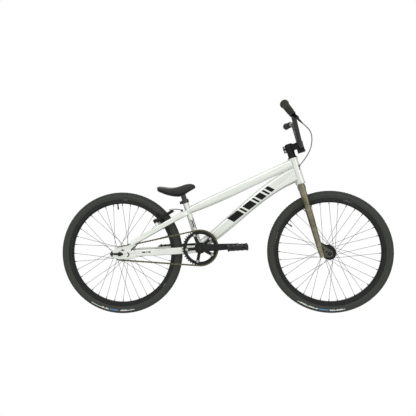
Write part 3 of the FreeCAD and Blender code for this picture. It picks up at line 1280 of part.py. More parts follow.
def brake_pad(name, side):
    """A long pad in its holder, on the threaded stud that passes through the arm."""
    eye = BRAKE_EYE + Y_AXIS * side * dim("brake_pivot_spread") + STAY_UP * PAD_ALONG
    from_axle = Vector(eye.x - REAR_AXLE.x, 0, eye.z - REAR_AXLE.z).normalize()
    round_rim = Vector(from_axle.z, 0, -from_axle.x)
    turn = Rotation(round_rim, Y_AXIS, from_axle, "XYZ")
    rim_face = dim("rim_width") / 2 + dim("pad_gap")
    centre = Vector(eye.x, 0, eye.z)
    low = rim_face if side > 0 else -rim_face - 7
    block = box(f"pad_{name}_block", centre - round_rim * 30 - from_axle * 4 + Y_AXIS * low, "60", "7", "8",
                turn)
    back = rim_face + 7 if side > 0 else -rim_face - 11
    holder = box(f"pad_{name}_holder", centre - round_rim * 27 - from_axle * 4 + Y_AXIS * back, "54", "4",
                 "8", turn)
    out = Y_AXIS * side
    stud = cylinder(f"pad_{name}_stud", centre + out * (rim_face + 10), out, "3.1", "30")
    washer_start = dim("brake_pivot_spread") + 6.2
    nut = prism(f"pad_{name}_nut", centre + out * washer_start, out, "5.4", "5")
    return fuse(f"brake_pad_{name}_body", block, holder, stud, nut)


def noodle():
    """The elbow that turns the cable from along the bike to across it."""
    top = BRAKE_EYE + STAY_UP * (ARM_LONG - 6) + STAY_OFF * 12
    out = dim("brake_pivot_spread")
    points = [top + Vector(26, -out - 4, 3), top + Vector(2, -out - 4, 1), top + Vector(0, -out + 18, 0)]
    return swept("noodle_tube", rounded_path(points, [15.0]), "2.8"), points[0]


NOODLE, NOODLE_MOUTH = noodle()


def cable(name, points):
    """A cable housing: straight runs joined by tangent arcs."""
    radii = cord_radii(points)
    print(name, "arc radii", [round(radius, 1) for radius in radii])
    path = rounded_path(points, radii)
    print(name, "length", round(path.Length, 1))
    obj = swept(name + "_tube", path, "@cable_radius")
    return obj


def front_cable_points():
    """From the lever's adjuster, forward in one loop and back to the port in the head tube."""
    start, along = lever_barrel()
    exit_point = STEERED.multVec(start + along * (BARREL_LONG - 4))
    ahead = STEERED.Rotation.multVec(along)
    return [exit_point, exit_point + ahead * 21, Vector(384, -143, 872), Vector(402, -115, 852),
            Vector(409, -90, 826), Vector(409, -66, 796), Vector(397, -42, 763), CABLE_LAST, CABLE_PORT]


for side_name, side_sign in mirrored_sides():
    part(f"brake_arm_{side_name}", brake_arm(side_name, side_sign))
    part(f"brake_pad_{side_name}", brake_pad(side_name, side_sign))
part("brake_noodle", NOODLE)
part("front_brake_cable", cable("front_cable", front_cable_points()))
part("rear_brake_cable", cable("rear_cable", [NOODLE_MOUTH + Vector(0.5, 0, 0.04),
                                              NOODLE_MOUTH + Vector(14, 0, 1.2),
                                              NOODLE_MOUTH + Vector(27, 13, -2), REAR_PORT]))


# ---------------------------------------------------------------- check and export

def check(obj):
    """Stop at a failed feature or an unsound shape."""
    if "Invalid" in obj.State or "Error" in obj.State:
        raise RuntimeError(f"{obj.Name} did not compute: {obj.State}")


doc.recompute()
for document_object in doc.Objects:
    check(document_object)
os.makedirs("parts", exist_ok=True)
for label, obj in PARTS.items():
    shape = obj.Shape
    if shape.isNull() or not shape.isValid() or not shape.Solids:
        raise RuntimeError(f"{label} has no sound shape")
    shape.exportStep(f"parts/{label}.step")
    print(f"{label}: {len(shape.Solids)} solids, {shape.Volume / 1000:.1f} cm3")
print(len(PARTS), "sub-parts")
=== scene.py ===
"""Looks of the 24 inch race cruiser: materials, tyres, saddle, cables, welds and small fittings.

Everything is in metres in the bicycle's own frame: +X forward, +Y to the rider's left, +Z up, and the
ground at z = 0. Pieces are placed from the boxes of the CAD nodes and from the joints in the record.
"""
import bpy
import bmesh
import json
import math
import random
from mathutils import Matrix, Vector
from mathutils.bvhtree import BVHTree


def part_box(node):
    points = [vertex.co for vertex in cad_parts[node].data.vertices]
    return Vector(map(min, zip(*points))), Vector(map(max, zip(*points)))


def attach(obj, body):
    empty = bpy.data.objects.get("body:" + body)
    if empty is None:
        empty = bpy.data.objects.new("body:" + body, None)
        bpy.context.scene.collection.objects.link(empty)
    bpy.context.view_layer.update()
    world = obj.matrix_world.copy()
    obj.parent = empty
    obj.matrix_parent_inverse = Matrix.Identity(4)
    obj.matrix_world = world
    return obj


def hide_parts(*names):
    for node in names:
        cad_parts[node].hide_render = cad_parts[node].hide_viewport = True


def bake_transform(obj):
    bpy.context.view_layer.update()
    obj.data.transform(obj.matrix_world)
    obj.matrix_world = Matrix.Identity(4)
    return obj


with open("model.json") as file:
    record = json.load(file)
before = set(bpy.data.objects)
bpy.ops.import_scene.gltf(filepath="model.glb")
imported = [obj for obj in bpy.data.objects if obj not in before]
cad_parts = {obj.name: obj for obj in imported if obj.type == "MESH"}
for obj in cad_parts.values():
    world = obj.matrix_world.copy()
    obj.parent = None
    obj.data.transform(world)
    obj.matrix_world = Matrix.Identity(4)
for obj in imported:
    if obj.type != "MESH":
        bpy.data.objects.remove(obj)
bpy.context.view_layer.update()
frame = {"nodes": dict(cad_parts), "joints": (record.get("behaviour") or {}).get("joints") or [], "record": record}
NODES, RECORD = frame["nodes"], frame["record"]
JOINTS = {joint["name"]: joint for joint in frame["joints"]}
dice = random.Random(24)


# ---------------------------------------------------------------- materials

def new_material(name):
    """An empty material with one Principled shader on its output."""
    made = bpy.data.materials.new(name)
    made.use_nodes = True
    tree = made.node_tree
    tree.nodes.clear()
    output = tree.nodes.new("ShaderNodeOutputMaterial")
    shader = tree.nodes.new("ShaderNodeBsdfPrincipled")
    tree.links.new(shader.outputs["BSDF"], output.inputs["Surface"])
    return made, tree, shader


def linear(rgb):
    """Display colour, 0 to 255, as scene-linear colour."""
    return tuple(pow(c / 255, 2.2) for c in rgb) + (1.0,)


def noise(tree, source, scale, detail=3.0, roughness=0.55):
    """The value of a noise texture."""
    node = tree.nodes.new("ShaderNodeTexNoise")
    node.inputs["Scale"].default_value = scale
    node.inputs["Detail"].default_value = detail
    node.inputs["Roughness"].default_value = roughness
    tree.links.new(source, node.inputs["Vector"])
    return node.outputs["Fac"]


def ramp(tree, value, stops):
    """A colour ramp from (position, rgb) stops."""
    node = tree.nodes.new("ShaderNodeValToRGB")
    band = node.color_ramp
    while len(band.elements) < len(stops):
        band.elements.new(0.5)
    for element, (place, colour) in zip(band.elements, stops):
        element.position = place
        element.color = linear(colour)
    tree.links.new(value, node.inputs["Fac"])
    return node.outputs["Color"]


def spread(tree, value, low, high, start=0.3, end=0.7):
    """A value that runs from low to high while the given one runs from start to end."""
    node = tree.nodes.new("ShaderNodeMapRange")
    node.inputs["From Min"].default_value = start
    node.inputs["From Max"].default_value = end
    node.inputs["To Min"].default_value = low
    node.inputs["To Max"].default_value = high
    tree.links.new(value, node.inputs["Value"])
    return node.outputs["Result"]


GLOSS_SCALE = 2.7
RELIEF_STRENGTH = 0.6
COAT_ROUGHNESS = 0.12


def surface(name, dark, light, rough, metal=0.0, stretch=(1, 1, 1), tilt=0.0, mottle=60.0,
            grain=900.0, bump=0.00004, coat=0.0, edge=0.0, specular=0.5, sheen=0.0, blend=(0.35, 0.65)):
    """A mottled colour, an uneven gloss and a fine relief, stretched along a direction.

    mottle and grain are noise scales; bump and edge are the relief's depth and the rounded
    edges' radius in metres.
    """
    made, tree, shader = new_material(name)
    place = tree.nodes.new("ShaderNodeTexCoord")
    turn = tree.nodes.new("ShaderNodeMapping")
    turn.vector_type = "POINT"
    turn.inputs["Rotation"].default_value = (0, tilt, 0)
    tree.links.new(place.outputs["Object"], turn.inputs["Vector"])
    scale = tree.nodes.new("ShaderNodeMapping")
    scale.inputs["Scale"].default_value = stretch
    tree.links.new(turn.outputs["Vector"], scale.inputs["Vector"])
    vector = scale.outputs["Vector"]
    colour = ramp(tree, noise(tree, vector, mottle), [(blend[0], dark), (blend[1], light)])
    tree.links.new(colour, shader.inputs["Base Color"])
    gloss = spread(tree, noise(tree, vector, mottle * GLOSS_SCALE, 4.0), *rough)
    tree.links.new(gloss, shader.inputs["Roughness"])
    relief = tree.nodes.new("ShaderNodeBump")
    relief.inputs["Strength"].default_value = RELIEF_STRENGTH
    relief.inputs["Distance"].default_value = bump
    tree.links.new(noise(tree, vector, grain, 2.0), relief.inputs["Height"])
    if edge:
        soft = tree.nodes.new("ShaderNodeBevel")
        soft.samples = 4
        soft.inputs["Radius"].default_value = edge
        tree.links.new(soft.outputs["Normal"], relief.inputs["Normal"])
    tree.links.new(relief.outputs["Normal"], shader.inputs["Normal"])
    shader.inputs["Metallic"].default_value = metal
    shader.inputs["Coat Weight"].default_value = coat
    shader.inputs["Coat Roughness"].default_value = COAT_ROUGHNESS
    shader.inputs["Specular IOR Level"].default_value = specular
    shader.inputs["Sheen Weight"].default_value = sheen
    return made


def brushed_alloy(name, tilt):
    """Clear-coated bright alloy, its fine scratches running along a tube that slopes by tilt."""
    return surface(name, (218, 223, 216), (236, 240, 234), (0.28, 0.44), metal=0.6,
                   stretch=(0.06, 1, 1), tilt=tilt, mottle=90.0, grain=1400.0, bump=0.00002,
                   coat=0.35, edge=0.0008)


ALLOY = brushed_alloy("alloy_level", 0.0)
BLACK = surface("black_anodised", (12, 13, 12), (24, 26, 24), (0.28, 0.45), metal=0.3, mottle=70.0,
                grain=2200.0, bump=0.00001, edge=0.0007, specular=0.4)
BLACK_PAINT = surface("black_painted", (16, 17, 16), (28, 29, 28), (0.2, 0.34), coat=0.5, edge=0.0008)
RIM_BLACK = surface("rim_anodised", (12, 13, 12), (24, 25, 24), (0.46, 0.6), metal=0.2, mottle=40.0,
                    edge=0.0006)
NICKEL = surface("bright_nickel", (104, 101, 82), (148, 144, 124), (0.14, 0.28), metal=1.0, mottle=30.0,
                 grain=500.0, bump=0.00001, edge=0.0006)
PLATE = surface("blasted_plate", (66, 68, 62), (98, 100, 92), (0.3, 0.46), metal=0.8, mottle=120.0,
                edge=0.0006)
STEEL = surface("bright_steel", (150, 152, 148), (196, 198, 194), (0.22, 0.4), metal=0.9, mottle=150.0,
                edge=0.0003)
DARK_STEEL = surface("dark_steel", (34, 35, 34), (58, 60, 58), (0.25, 0.42), metal=0.8, mottle=120.0,
                     edge=0.0004)
CHAIN_STEEL = surface("oiled_chain", (62, 60, 46), (120, 116, 92), (0.24, 0.46), metal=0.85,
                      mottle=260.0, edge=0.0003)
SPOKE = surface("spoke_wire", (58, 60, 58), (84, 87, 84), (0.3, 0.45), metal=0.7, mottle=200.0)
THREAD = surface("saddle_thread", (70, 73, 69), (96, 99, 94), (0.6, 0.8), mottle=900.0, sheen=0.3)
CRANK = surface("forged_black", (12, 14, 13), (26, 29, 27), (0.34, 0.52), specular=0.3, mottle=55.0,
                grain=1500.0, bump=0.00003, edge=0.0010)
NYLON = surface("moulded_nylon", (10, 12, 10), (22, 24, 22), (0.42, 0.62), mottle=110.0, grain=2600.0,
                bump=0.00008, edge=0.0007)
RUBBER = surface("grip_rubber", (40, 43, 38), (62, 65, 57), (0.62, 0.8), mottle=240.0, grain=1800.0,
                 bump=0.00012, specular=0.3, edge=0.0004)
TYRE = surface("tyre_rubber", (52, 55, 51), (64, 67, 62), (0.6, 0.78), mottle=110.0, grain=1500.0,
               bump=0.00006, specular=0.34, blend=(0.2, 0.8))
VINYL = surface("saddle_vinyl", (18, 20, 18), (34, 37, 33), (0.26, 0.42), mottle=120.0, grain=1300.0,
                bump=0.00018, specular=0.5, coat=0.12)
PAD = surface("pad_compound", (26, 27, 26), (44, 45, 44), (0.6, 0.8), mottle=200.0, specular=0.3)
HOUSING = surface("cable_housing", (84, 87, 84), (116, 118, 115), (0.3, 0.48), mottle=300.0, bump=0.00002,
                  coat=0.25)
WHITE_PRINT = surface("white_print", (214, 220, 210), (238, 242, 234), (0.5, 0.66), mottle=160.0)
BLUE_PRINT = surface("blue_print", (74, 112, 150), (96, 140, 182), (0.5, 0.66), mottle=160.0)
DECAL = surface("black_decal", (8, 9, 8), (15, 16, 15), (0.5, 0.62), mottle=90.0, specular=0.25)
WELD = surface("weld_bead", (206, 209, 204), (232, 234, 229), (0.3, 0.5), metal=0.85, mottle=220.0,
               grain=900.0, bump=0.00006, coat=0.3)

FINISH = {
    "rim_black": RIM_BLACK, "spoke_steel": SPOKE, "hub_black": BLACK, "frame_alloy": ALLOY,
    "fork_nickel": NICKEL, "black_alloy": BLACK, "dark_steel": DARK_STEEL, "chain_steel": CHAIN_STEEL,
    "crank_black": CRANK, "pedal_plastic": NYLON, "grip_rubber": RUBBER, "saddle_cover": VINYL,
    "saddle_plastic": NYLON, "pad_rubber": PAD, "bolt_steel": STEEL, "cable_grey": HOUSING,
    "bearing_steel": STEEL, "tyre_rubber": TYRE,
}
# How far each frame tube slopes, in degrees: its fine scratches run along it.
TUBE_SLOPES = {
    "top_tube": 24.3, "down_tube": 38.2, "seat_stay_right": 29.4, "seat_stay_left": 29.4,
    "chain_stay_right": 2.0, "chain_stay_left": 2.0, "seat_tube": -72.4, "head_tube": -73.0,
}


def paint(node, finish):
    """One finish on a CAD node."""
    NODES[node].data.materials.clear()
    NODES[node].data.materials.append(finish)


for entry in RECORD["subparts"]:
    paint(entry["node"], FINISH[entry["material_slot"]])
for node, slope in TUBE_SLOPES.items():
    paint(node, brushed_alloy(f"alloy_{node}", math.radians(slope)))
for node in ("seat_post", "handlebar", "seat_clamp"):
    paint(node, BLACK_PAINT)
paint("fork_dropouts", PLATE)


# ---------------------------------------------------------------- stage

# The white room that metal and gloss reflect: grey behind the bicycle, white above and in front.
ROOM_SLOPE = (-0.05, -0.46, 0.18)
ROOM_TONES = ((0.0, 0.42), (0.5, 0.80), (1.0, 1.0))
ROOM_STRENGTH = 0.95
CAMERA_PLACE = (-0.0063, -2.1839, 0.5253)
CAMERA_YAW, CAMERA_PITCH, CAMERA_ROLL = -0.0339, 0.005, -0.0074
LENS_MM, SENSOR_MM = 38.70, 36.0


def soft_light(name, place, aim, power, size):
    """A rectangular area light, size metres wide and tall, aimed at a point."""
    lamp = bpy.data.lights.new(name, "AREA")
    lamp.shape = "RECTANGLE"
    lamp.size, lamp.size_y = size
    lamp.energy = power
    holder = bpy.data.objects.new(name, lamp)
    holder.location = place
    holder.rotation_euler = (Vector(aim) - Vector(place)).to_track_quat("-Z", "Y").to_euler()
    bpy.context.scene.collection.objects.link(holder)


def stage():
    """Three soft lights in a room that the camera sees as plain white."""
    scene = bpy.context.scene
    scene.view_settings.view_transform = "Standard"
    world = bpy.data.worlds.new("studio")
    world.use_nodes = True
    tree = world.node_tree
    tree.nodes.clear()
    place = tree.nodes.new("ShaderNodeTexCoord")
    slope = tree.nodes.new("ShaderNodeVectorMath")
    slope.operation = "DOT_PRODUCT"
    slope.inputs[1].default_value = ROOM_SLOPE
    tree.links.new(place.outputs["Generated"], slope.inputs[0])
    level = tree.nodes.new("ShaderNodeMapRange")
    level.inputs["From Min"].default_value = -0.5
    level.inputs["From Max"].default_value = 0.5
    tree.links.new(slope.outputs["Value"], level.inputs["Value"])
    shade = tree.nodes.new("ShaderNodeValToRGB")
    band = shade.color_ramp
    for position, tone in ROOM_TONES:
        element = band.elements.new(position) if 0 < position < 1 else band.elements[int(position)]
        element.position = position
        element.color = (tone, tone, tone * 0.99, 1)
    tree.links.new(level.outputs["Result"], shade.inputs["Fac"])
    room = tree.nodes.new("ShaderNodeBackground")
    backdrop = tree.nodes.new("ShaderNodeBackground")
    tree.links.new(shade.outputs["Color"], room.inputs["Color"])
    room.inputs["Strength"].default_value = ROOM_STRENGTH
    backdrop.inputs["Color"].default_value = (1, 1, 1, 1)
    seen = tree.nodes.new("ShaderNodeLightPath")
    pick = tree.nodes.new("ShaderNodeMixShader")
    tree.links.new(seen.outputs["Is Camera Ray"], pick.inputs["Fac"])
    tree.links.new(room.outputs["Background"], pick.inputs[1])
    tree.links.new(backdrop.outputs["Background"], pick.inputs[2])
    output = tree.nodes.new("ShaderNodeOutputWorld")
    tree.links.new(pick.outputs["Shader"], output.inputs["Surface"])
    scene.world = world
    soft_light("key", (-1.2, -3.4, 3.2), (0, 0, 0.4), 34, (3.0, 2.0))
    soft_light("fill", (2.6, -2.2, 2.0), (0.1, 0, 0.4), 12, (2.2, 2.2))
    soft_light("rim_light", (0.2, 2.6, 2.8), (0, 0, 0.5), 20, (3.5, 1.5))


def camera():
    """The photograph's view, from the drive side at about the height of the saddle."""
    turn = (Matrix.Rotation(CAMERA_ROLL, 3, "Y") @ Matrix.Rotation(CAMERA_PITCH, 3, "X")
            @ Matrix.Rotation(CAMERA_YAW, 3, "Z"))
    right, ahead, up = turn.row
    axes = Matrix((right, up, -ahead)).transposed()
    lens = bpy.data.cameras.new("camera")
    lens.lens = LENS_MM
    lens.sensor_width = SENSOR_MM
    holder = bpy.data.objects.new("camera", lens)
    holder.matrix_world = Matrix.LocRotScale(Vector(CAMERA_PLACE), axes.to_quaternion(), None)
    bpy.context.scene.collection.objects.link(holder)
    bpy.context.scene.camera = holder


stage()
camera()


# ---------------------------------------------------------------- mesh helpers

def make_piece(name, points, faces, finish, body, slot, smooth=True):
    """A mesh piece that rides on a body; with body None it is left unattached."""
    mesh = bpy.data.meshes.new(name)
    mesh.from_pydata([tuple(p) for p in points], [], faces)
    mesh.validate()
    sound = bmesh.new()
    sound.from_mesh(mesh)
    bmesh.ops.recalc_face_normals(sound, faces=sound.faces)
    sound.to_mesh(mesh)
    sound.free()
    for polygon in mesh.polygons:
        polygon.use_smooth = smooth
    mesh.materials.append(finish)
    obj = bpy.data.objects.new(name, mesh)
    bpy.context.scene.collection.objects.link(obj)
    if body:
        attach(obj, body)
    return obj


def grid_faces(rows, columns, wrap_rows=False, wrap_columns=False):
    """The four-sided faces of a grid of points stored row by row."""
    faces = []
    for i in range(rows if wrap_rows else rows - 1):
        for j in range(columns if wrap_columns else columns - 1):
            a, b = i, (i + 1) % rows
            c, d = j, (j + 1) % columns
            faces.append((a * columns + c, b * columns + c, b * columns + d, a * columns + d))
    return faces


def merge(parts):
    """One (points, faces) mesh from several."""
    points, faces = [], []
    for some_points, some_faces in parts:
        start = len(points)
        points += [Vector(p) for p in some_points]
        faces += [tuple(start + i for i in face) for face in some_faces]
    return points, faces


def across(direction):
    """Two unit vectors square to a direction and to each other."""
    direction = Vector(direction).normalized()
    helper = Vector((0, 0, 1)) if abs(direction.z) < 0.9 else Vector((1, 0, 0))
    first = direction.cross(helper).normalized()
    return first, direction.cross(first).normalized()


def tube_mesh(path, radius, sides=12, closed=False):
    """A round tube along a path; radius is a number or a function of the point's index."""
    size = len(path)
    points = []
    first, _ = across(path[1] - path[0])
    for i, here in enumerate(path):
        if closed:
            ahead = (path[(i + 1) % size] - path[i - 1]).normalized()
        else:
            ahead = (path[min(i + 1, size - 1)] - path[max(i - 1, 0)]).normalized()
        first = (first - ahead * first.dot(ahead)).normalized()
        second = ahead.cross(first)
        reach = radius(i) if callable(radius) else radius
        for k in range(sides):
            angle = 2 * math.pi * k / sides
            points.append(here + (first * math.cos(angle) + second * math.sin(angle)) * reach)
    faces = grid_faces(size, sides, closed, True)
    if not closed:
        faces += [tuple(range(sides))[::-1], tuple(range((size - 1) * sides, size * sides))]
    return points, faces


def lathe_mesh(profile, base, axis, sides=32):
    """A turned solid from (radius, distance along the axis) pairs, closed at both ends."""
    first, second = across(axis)
    axis = Vector(axis).normalized()
    points = []
    for radius, along in profile:
        for k in range(sides):
            angle = 2 * math.pi * k / sides
            out = first * math.cos(angle) + second * math.sin(angle)
            points.append(Vector(base) + axis * along + out * radius)
    faces = grid_faces(len(profile), sides, False, True)
    faces += [tuple(range(sides))[::-1], tuple(range((len(profile) - 1) * sides, len(profile) * sides))]
    return points, faces


def smooth_curve(points, count):
    """Points evenly spread along the NURBS line that the given points control."""
    data = bpy.data.curves.new("guide", "CURVE")
    data.dimensions = "3D"
    line = data.splines.new("NURBS")
    line.points.add(len(points) - 1)
    for control, point in zip(line.points, points):
        control.co = (*point, 1)
    line.order_u = 4 if len(points) > 3 else 3
    line.use_endpoint_u = True
    line.resolution_u = 24
    holder = bpy.data.objects.new("guide", data)
    mesh = bpy.data.meshes.new_from_object(holder)
    found = [vertex.co.copy() for vertex in mesh.vertices]
    bpy.data.objects.remove(holder)
    bpy.data.curves.remove(data)
    bpy.data.meshes.remove(mesh)
    return resample(found, count)


def resample(path, count, closed=False):
    """The given number of points, evenly spread along a line of straight runs."""
    path = path + [path[0]] if closed else path
    lengths = [0.0]
    for a, b in zip(path, path[1:]):
        lengths.append(lengths[-1] + (b - a).length)
    out, k = [], 0
    for n in range(count):
        goal = lengths[-1] * n / (count if closed else count - 1)
        while k < len(path) - 2 and lengths[k + 1] < goal:
            k += 1
        share = (goal - lengths[k]) / max(lengths[k + 1] - lengths[k], 1e-9)
        out.append(path[k].lerp(path[k + 1], min(max(share, 0), 1)))
    return out


def surface_tree(*names):
    """A ray-casting tree over several CAD nodes."""
    meshes = [NODES[name].data for name in names]
    points, faces = merge([([v.co for v in mesh.vertices], [tuple(p.vertices) for p in mesh.polygons])
                           for mesh in meshes])
    return BVHTree.FromPolygons(points, faces)


# ---------------------------------------------------------------- wheels

def wheel_axes(end):
    """A wheel's middle, a direction ahead, its axle's direction and a direction up, square to each other."""
    spin = JOINTS[f"{end}_wheel_spin"]
    axis = Vector(spin["axis"]).normalized()
    ahead = (Vector((1, 0, 0)) - axis * axis.x).normalized()
    return Vector(spin["pos_m"]), ahead, axis, ahead.cross(axis)


WHEELS = {end: wheel_axes(end) for end in ("rear", "front")}

# The casing is round, with radius TYRE_ROUND over the tread and WALL_ROUND on the walls, about a ring.
TYRE_RING, TYRE_ROUND = 0.275, 0.0219
WALL_ROUND = TYRE_ROUND - 0.0008
RIB_HEIGHT, BEAD_LIFT = 0.00035, 0.0005
CASING_THICK = 0.0032
BEAD_ANGLE = 134.5
PRINT_LIFT = 0.00018
# Rows of tread blocks: from and to, in degrees across the casing, and whether the row is shifted.
TREAD_ROWS = ((0.0, 12.0, False), (17.5, 32.5, True), (38.0, 57.0, False))
TREAD_EDGE, BLOCK_START, BLOCK_END = 2.0, 0.035, 0.735
PITCHES, LUG_DEPTH = 120, 0.0014
STEPS = (0.0, 0.04, 0.23, 0.27, 0.5, 0.54, 0.73, 0.77)


def tread_height(angle, share):
    """1 on top of a tread block and 0 in a groove; share runs 0 to 1 over one pitch."""
    side = abs(angle)
    for low, high, shifted in TREAD_ROWS:
        if low - TREAD_EDGE - 0.1 < side < high + TREAD_EDGE + 0.1:
            spot = (share + 0.5) % 1.0 if shifted else share
            if not BLOCK_START <= spot <= BLOCK_END:
                return 0.0
            if low == 0 and side <= high:
                return 1.0
            rise = max(0.0, (side - (low - TREAD_EDGE)) / TREAD_EDGE)
            fall = max(0.0, (high + TREAD_EDGE - side) / TREAD_EDGE)
            return min(1.0, rise, fall)
    return 0.0


def tyre_round(angle, share):
    """The casing's round radius at an angle across it, tread and moulded ribs included."""
    side = abs(angle)
    if side < 60:
        return TYRE_ROUND - LUG_DEPTH * (1 - tread_height(angle, share))
    ribs = RIB_HEIGHT if 64 < side < 66.5 or 92 < side < 94 or 97 < side < 98.5 else 0.0
    return WALL_ROUND + ribs + (BEAD_LIFT if side > 124 else 0.0)


def tyre_point(wheel, turn, angle, radius):
    """A point on a wheel's casing: turn is radians round the wheel, angle is degrees across the casing."""
    middle, ahead, axis, up = wheel
    out = ahead * math.cos(turn) + up * math.sin(turn)
    return middle + out * (TYRE_RING + radius * math.cos(math.radians(angle))) \
        + axis * (radius * math.sin(math.radians(angle)))


def build_tyre(end):
    """A tyre with three rows of low blocks, plain walls with moulded ribs, and an inner face."""
    half = [0, 6, 12, 14, 16, 17.5, 25, 32.5, 34.5, 36, 38, 47, 57, 59, 61, 64, 65, 66.5, 72, 79, 86,
            91.9, 92.1, 93.9, 94.1, 96.9, 97.1, 98.4, 98.6, 106, 115, 123.9, 124.1, 130, BEAD_ANGLE]
    angles = [-a for a in half[:0:-1]] + half
    inner = list(range(130, -131, -20))
    points = []
    for n in range(PITCHES * len(STEPS)):
        share = STEPS[n % len(STEPS)]
        turn = 2 * math.pi * (n // len(STEPS) + share) / PITCHES
        points += [tyre_point(WHEELS[end], turn, a, tyre_round(a, share)) for a in angles]
        points += [tyre_point(WHEELS[end], turn, a, TYRE_ROUND - CASING_THICK) for a in inner]
    columns = len(angles) + len(inner)
    faces = grid_faces(PITCHES * len(STEPS), columns, True, True)
    tyre = make_piece(f"{end}_tyre_detailed", points, faces, TYRE, f"{end}_wheel", "tyre_rubber",
                      smooth=False)
    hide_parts(f"{end}_tyre")


def print_patch(end, side, start, stop, low, high):
    """A printed patch on the tyre wall: start and stop are degrees round from the lowest point."""
    steps = max(2, int(abs(stop - start) / 0.5))
    points = []
    for i in range(steps + 1):
        turn = math.radians(start + (stop - start) * i / steps - 90)
        for k in range(5):
            angle = side * (low + (high - low) * k / 4)
            points.append(tyre_point(WHEELS[end], turn, angle, WALL_ROUND + PRINT_LIFT))
    return points, grid_faces(steps + 1, 5)


def build_prints(end, groups):
    """Broken white strokes either side of a plain blue block, on both walls of a tyre."""
    white, blue = [], []
    for side in (-1, 1):
        for start, stop, is_blue in groups:
            if is_blue:
                blue.append(print_patch(end, side, start, stop, 69.5, 89))
                continue
            place = start
            while place < stop - 0.5:
                long = dice.uniform(0.9, 2.1)
                low, high = (70.5, 88) if dice.random() < 0.65 else (70.5, 80)
                white.append(print_patch(end, side, place, min(place + long, stop), low, high))
                place += long + 0.28
    make_piece(f"{end}_wall_strokes", *merge(white), WHITE_PRINT, f"{end}_wheel", "tyre_rubber")
    make_piece(f"{end}_wall_block", *merge(blue), BLUE_PRINT, f"{end}_wheel", "tyre_rubber")


RIM_INSIDE = 0.2412


def build_valve(end, turn):
    """A valve stem with its nut and ridged cap, pointing at the hub."""
    middle, ahead, axis, up = WHEELS[end]
    out = ahead * math.cos(turn) + up * math.sin(turn)
    profile = [(0.0030, 0), (0.0048, 0.0002), (0.0048, 0.0018), (0.0030, 0.0022), (0.0028, 0.014),
               (0.0038, 0.0145)]
    for n in range(5):
        profile += [(0.0038, 0.016 + n * 0.0018), (0.0034, 0.0168 + n * 0.0018)]
    profile += [(0.0036, 0.0262), (0.0022, 0.0282)]
    stem = lathe_mesh(profile, middle + out * RIM_INSIDE, -out, 20)
    make_piece(f"{end}_valve", *stem, NYLON, f"{end}_wheel", "tyre_rubber")


build_tyre("rear")
build_tyre("front")
# Each group runs between two angles, in degrees round from the lowest point, and is blue or white.
build_prints("rear", ((-32, -13, False), (-12.4, -3.7, True), (-1.9, 12.6, False)))
build_prints("front", ((-31.6, -11, False), (-10.4, -0.4, True), (0.8, 15.7, False)))
build_valve("rear", math.radians(95))
build_valve("front", math.radians(145))


# ---------------------------------------------------------------- saddle

# Cross-sections of the saddle, tail to nose: x, top, bottom and half width.
SADDLE = [(-0.3262, 0.6150, 0.6020, 0.0240), (-0.3242, 0.6190, 0.5965, 0.0345),
          (-0.3180, 0.6205, 0.5925, 0.0440), (-0.3024, 0.6198, 0.5860, 0.0520),
          (-0.2827, 0.6170, 0.5785, 0.0537), (-0.2627, 0.6145, 0.5735, 0.0535),
          (-0.2400, 0.6155, 0.5700, 0.0460), (-0.2174, 0.6205, 0.5702, 0.0356),
          (-0.1960, 0.6275, 0.5785, 0.0270), (-0.1758, 0.6320, 0.5915, 0.0208),
          (-0.1580, 0.6318, 0.6020, 0.0165), (-0.1470, 0.6272, 0.6080, 0.0130),
          (-0.1420, 0.6215, 0.6120, 0.0075)]
SADDLE_ROWS, SADDLE_AROUND, UNDER_AROUND, BASE_AROUND = 72, 72, 5, 33
# The cover's lower edge is 30% of the way up the side; the seam is measured round from there.
COVER_EDGE_SHARE = 0.30
COVER_START = math.asin(-(1 - 2 * COVER_EDGE_SHARE) * 0.999)
COVER_STOP = math.pi - COVER_START
PIPING_SHARE, STITCH_SHARE = 0.118, 0.142
STITCHES = 149


def between(values, place):
    """Smooth (Catmull-Rom) values along a list of rows, place from 0 to 1."""
    spot = place * (len(values) - 1)
    k = min(int(spot), len(values) - 2)
    t = spot - k
    a, b = values[max(k - 1, 0)], values[k]
    c, d = values[k + 1], values[min(k + 2, len(values) - 1)]
    return [0.5 * (2 * q + (r - p) * t + (2 * p - 5 * q + 4 * r - s) * t * t
                   + (3 * q - p - 3 * r + s) * t ** 3) for p, q, r, s in zip(a, b, c, d)]


def saddle_ring(place, around, swell=0.0):
    """A point on the saddle: place runs tail to nose, around is an angle from the left side upward."""
    x, top, bottom, half = between(SADDLE, place)
    middle, high = (top + bottom) / 2, (top - bottom) / 2
    c, s = math.cos(around), math.sin(around)
    wide = math.copysign(abs(c) ** 0.72, c) * (half + swell)
    tall = math.copysign(abs(s) ** 0.8, s) * (high + swell)
    if s > 0:
        tall -= 0.05 * high * math.cos(around * 2) * (0.0 if abs(c) > 0.8 else 1.0)
    else:
        wide *= 1 - 0.22 * abs(s)
    return Vector((x, wide, middle + tall))


def cover_angle(share):
    """The angle at a share of the way over the cover, from its left edge to its right."""
    return COVER_START + (COVER_STOP - COVER_START) * share


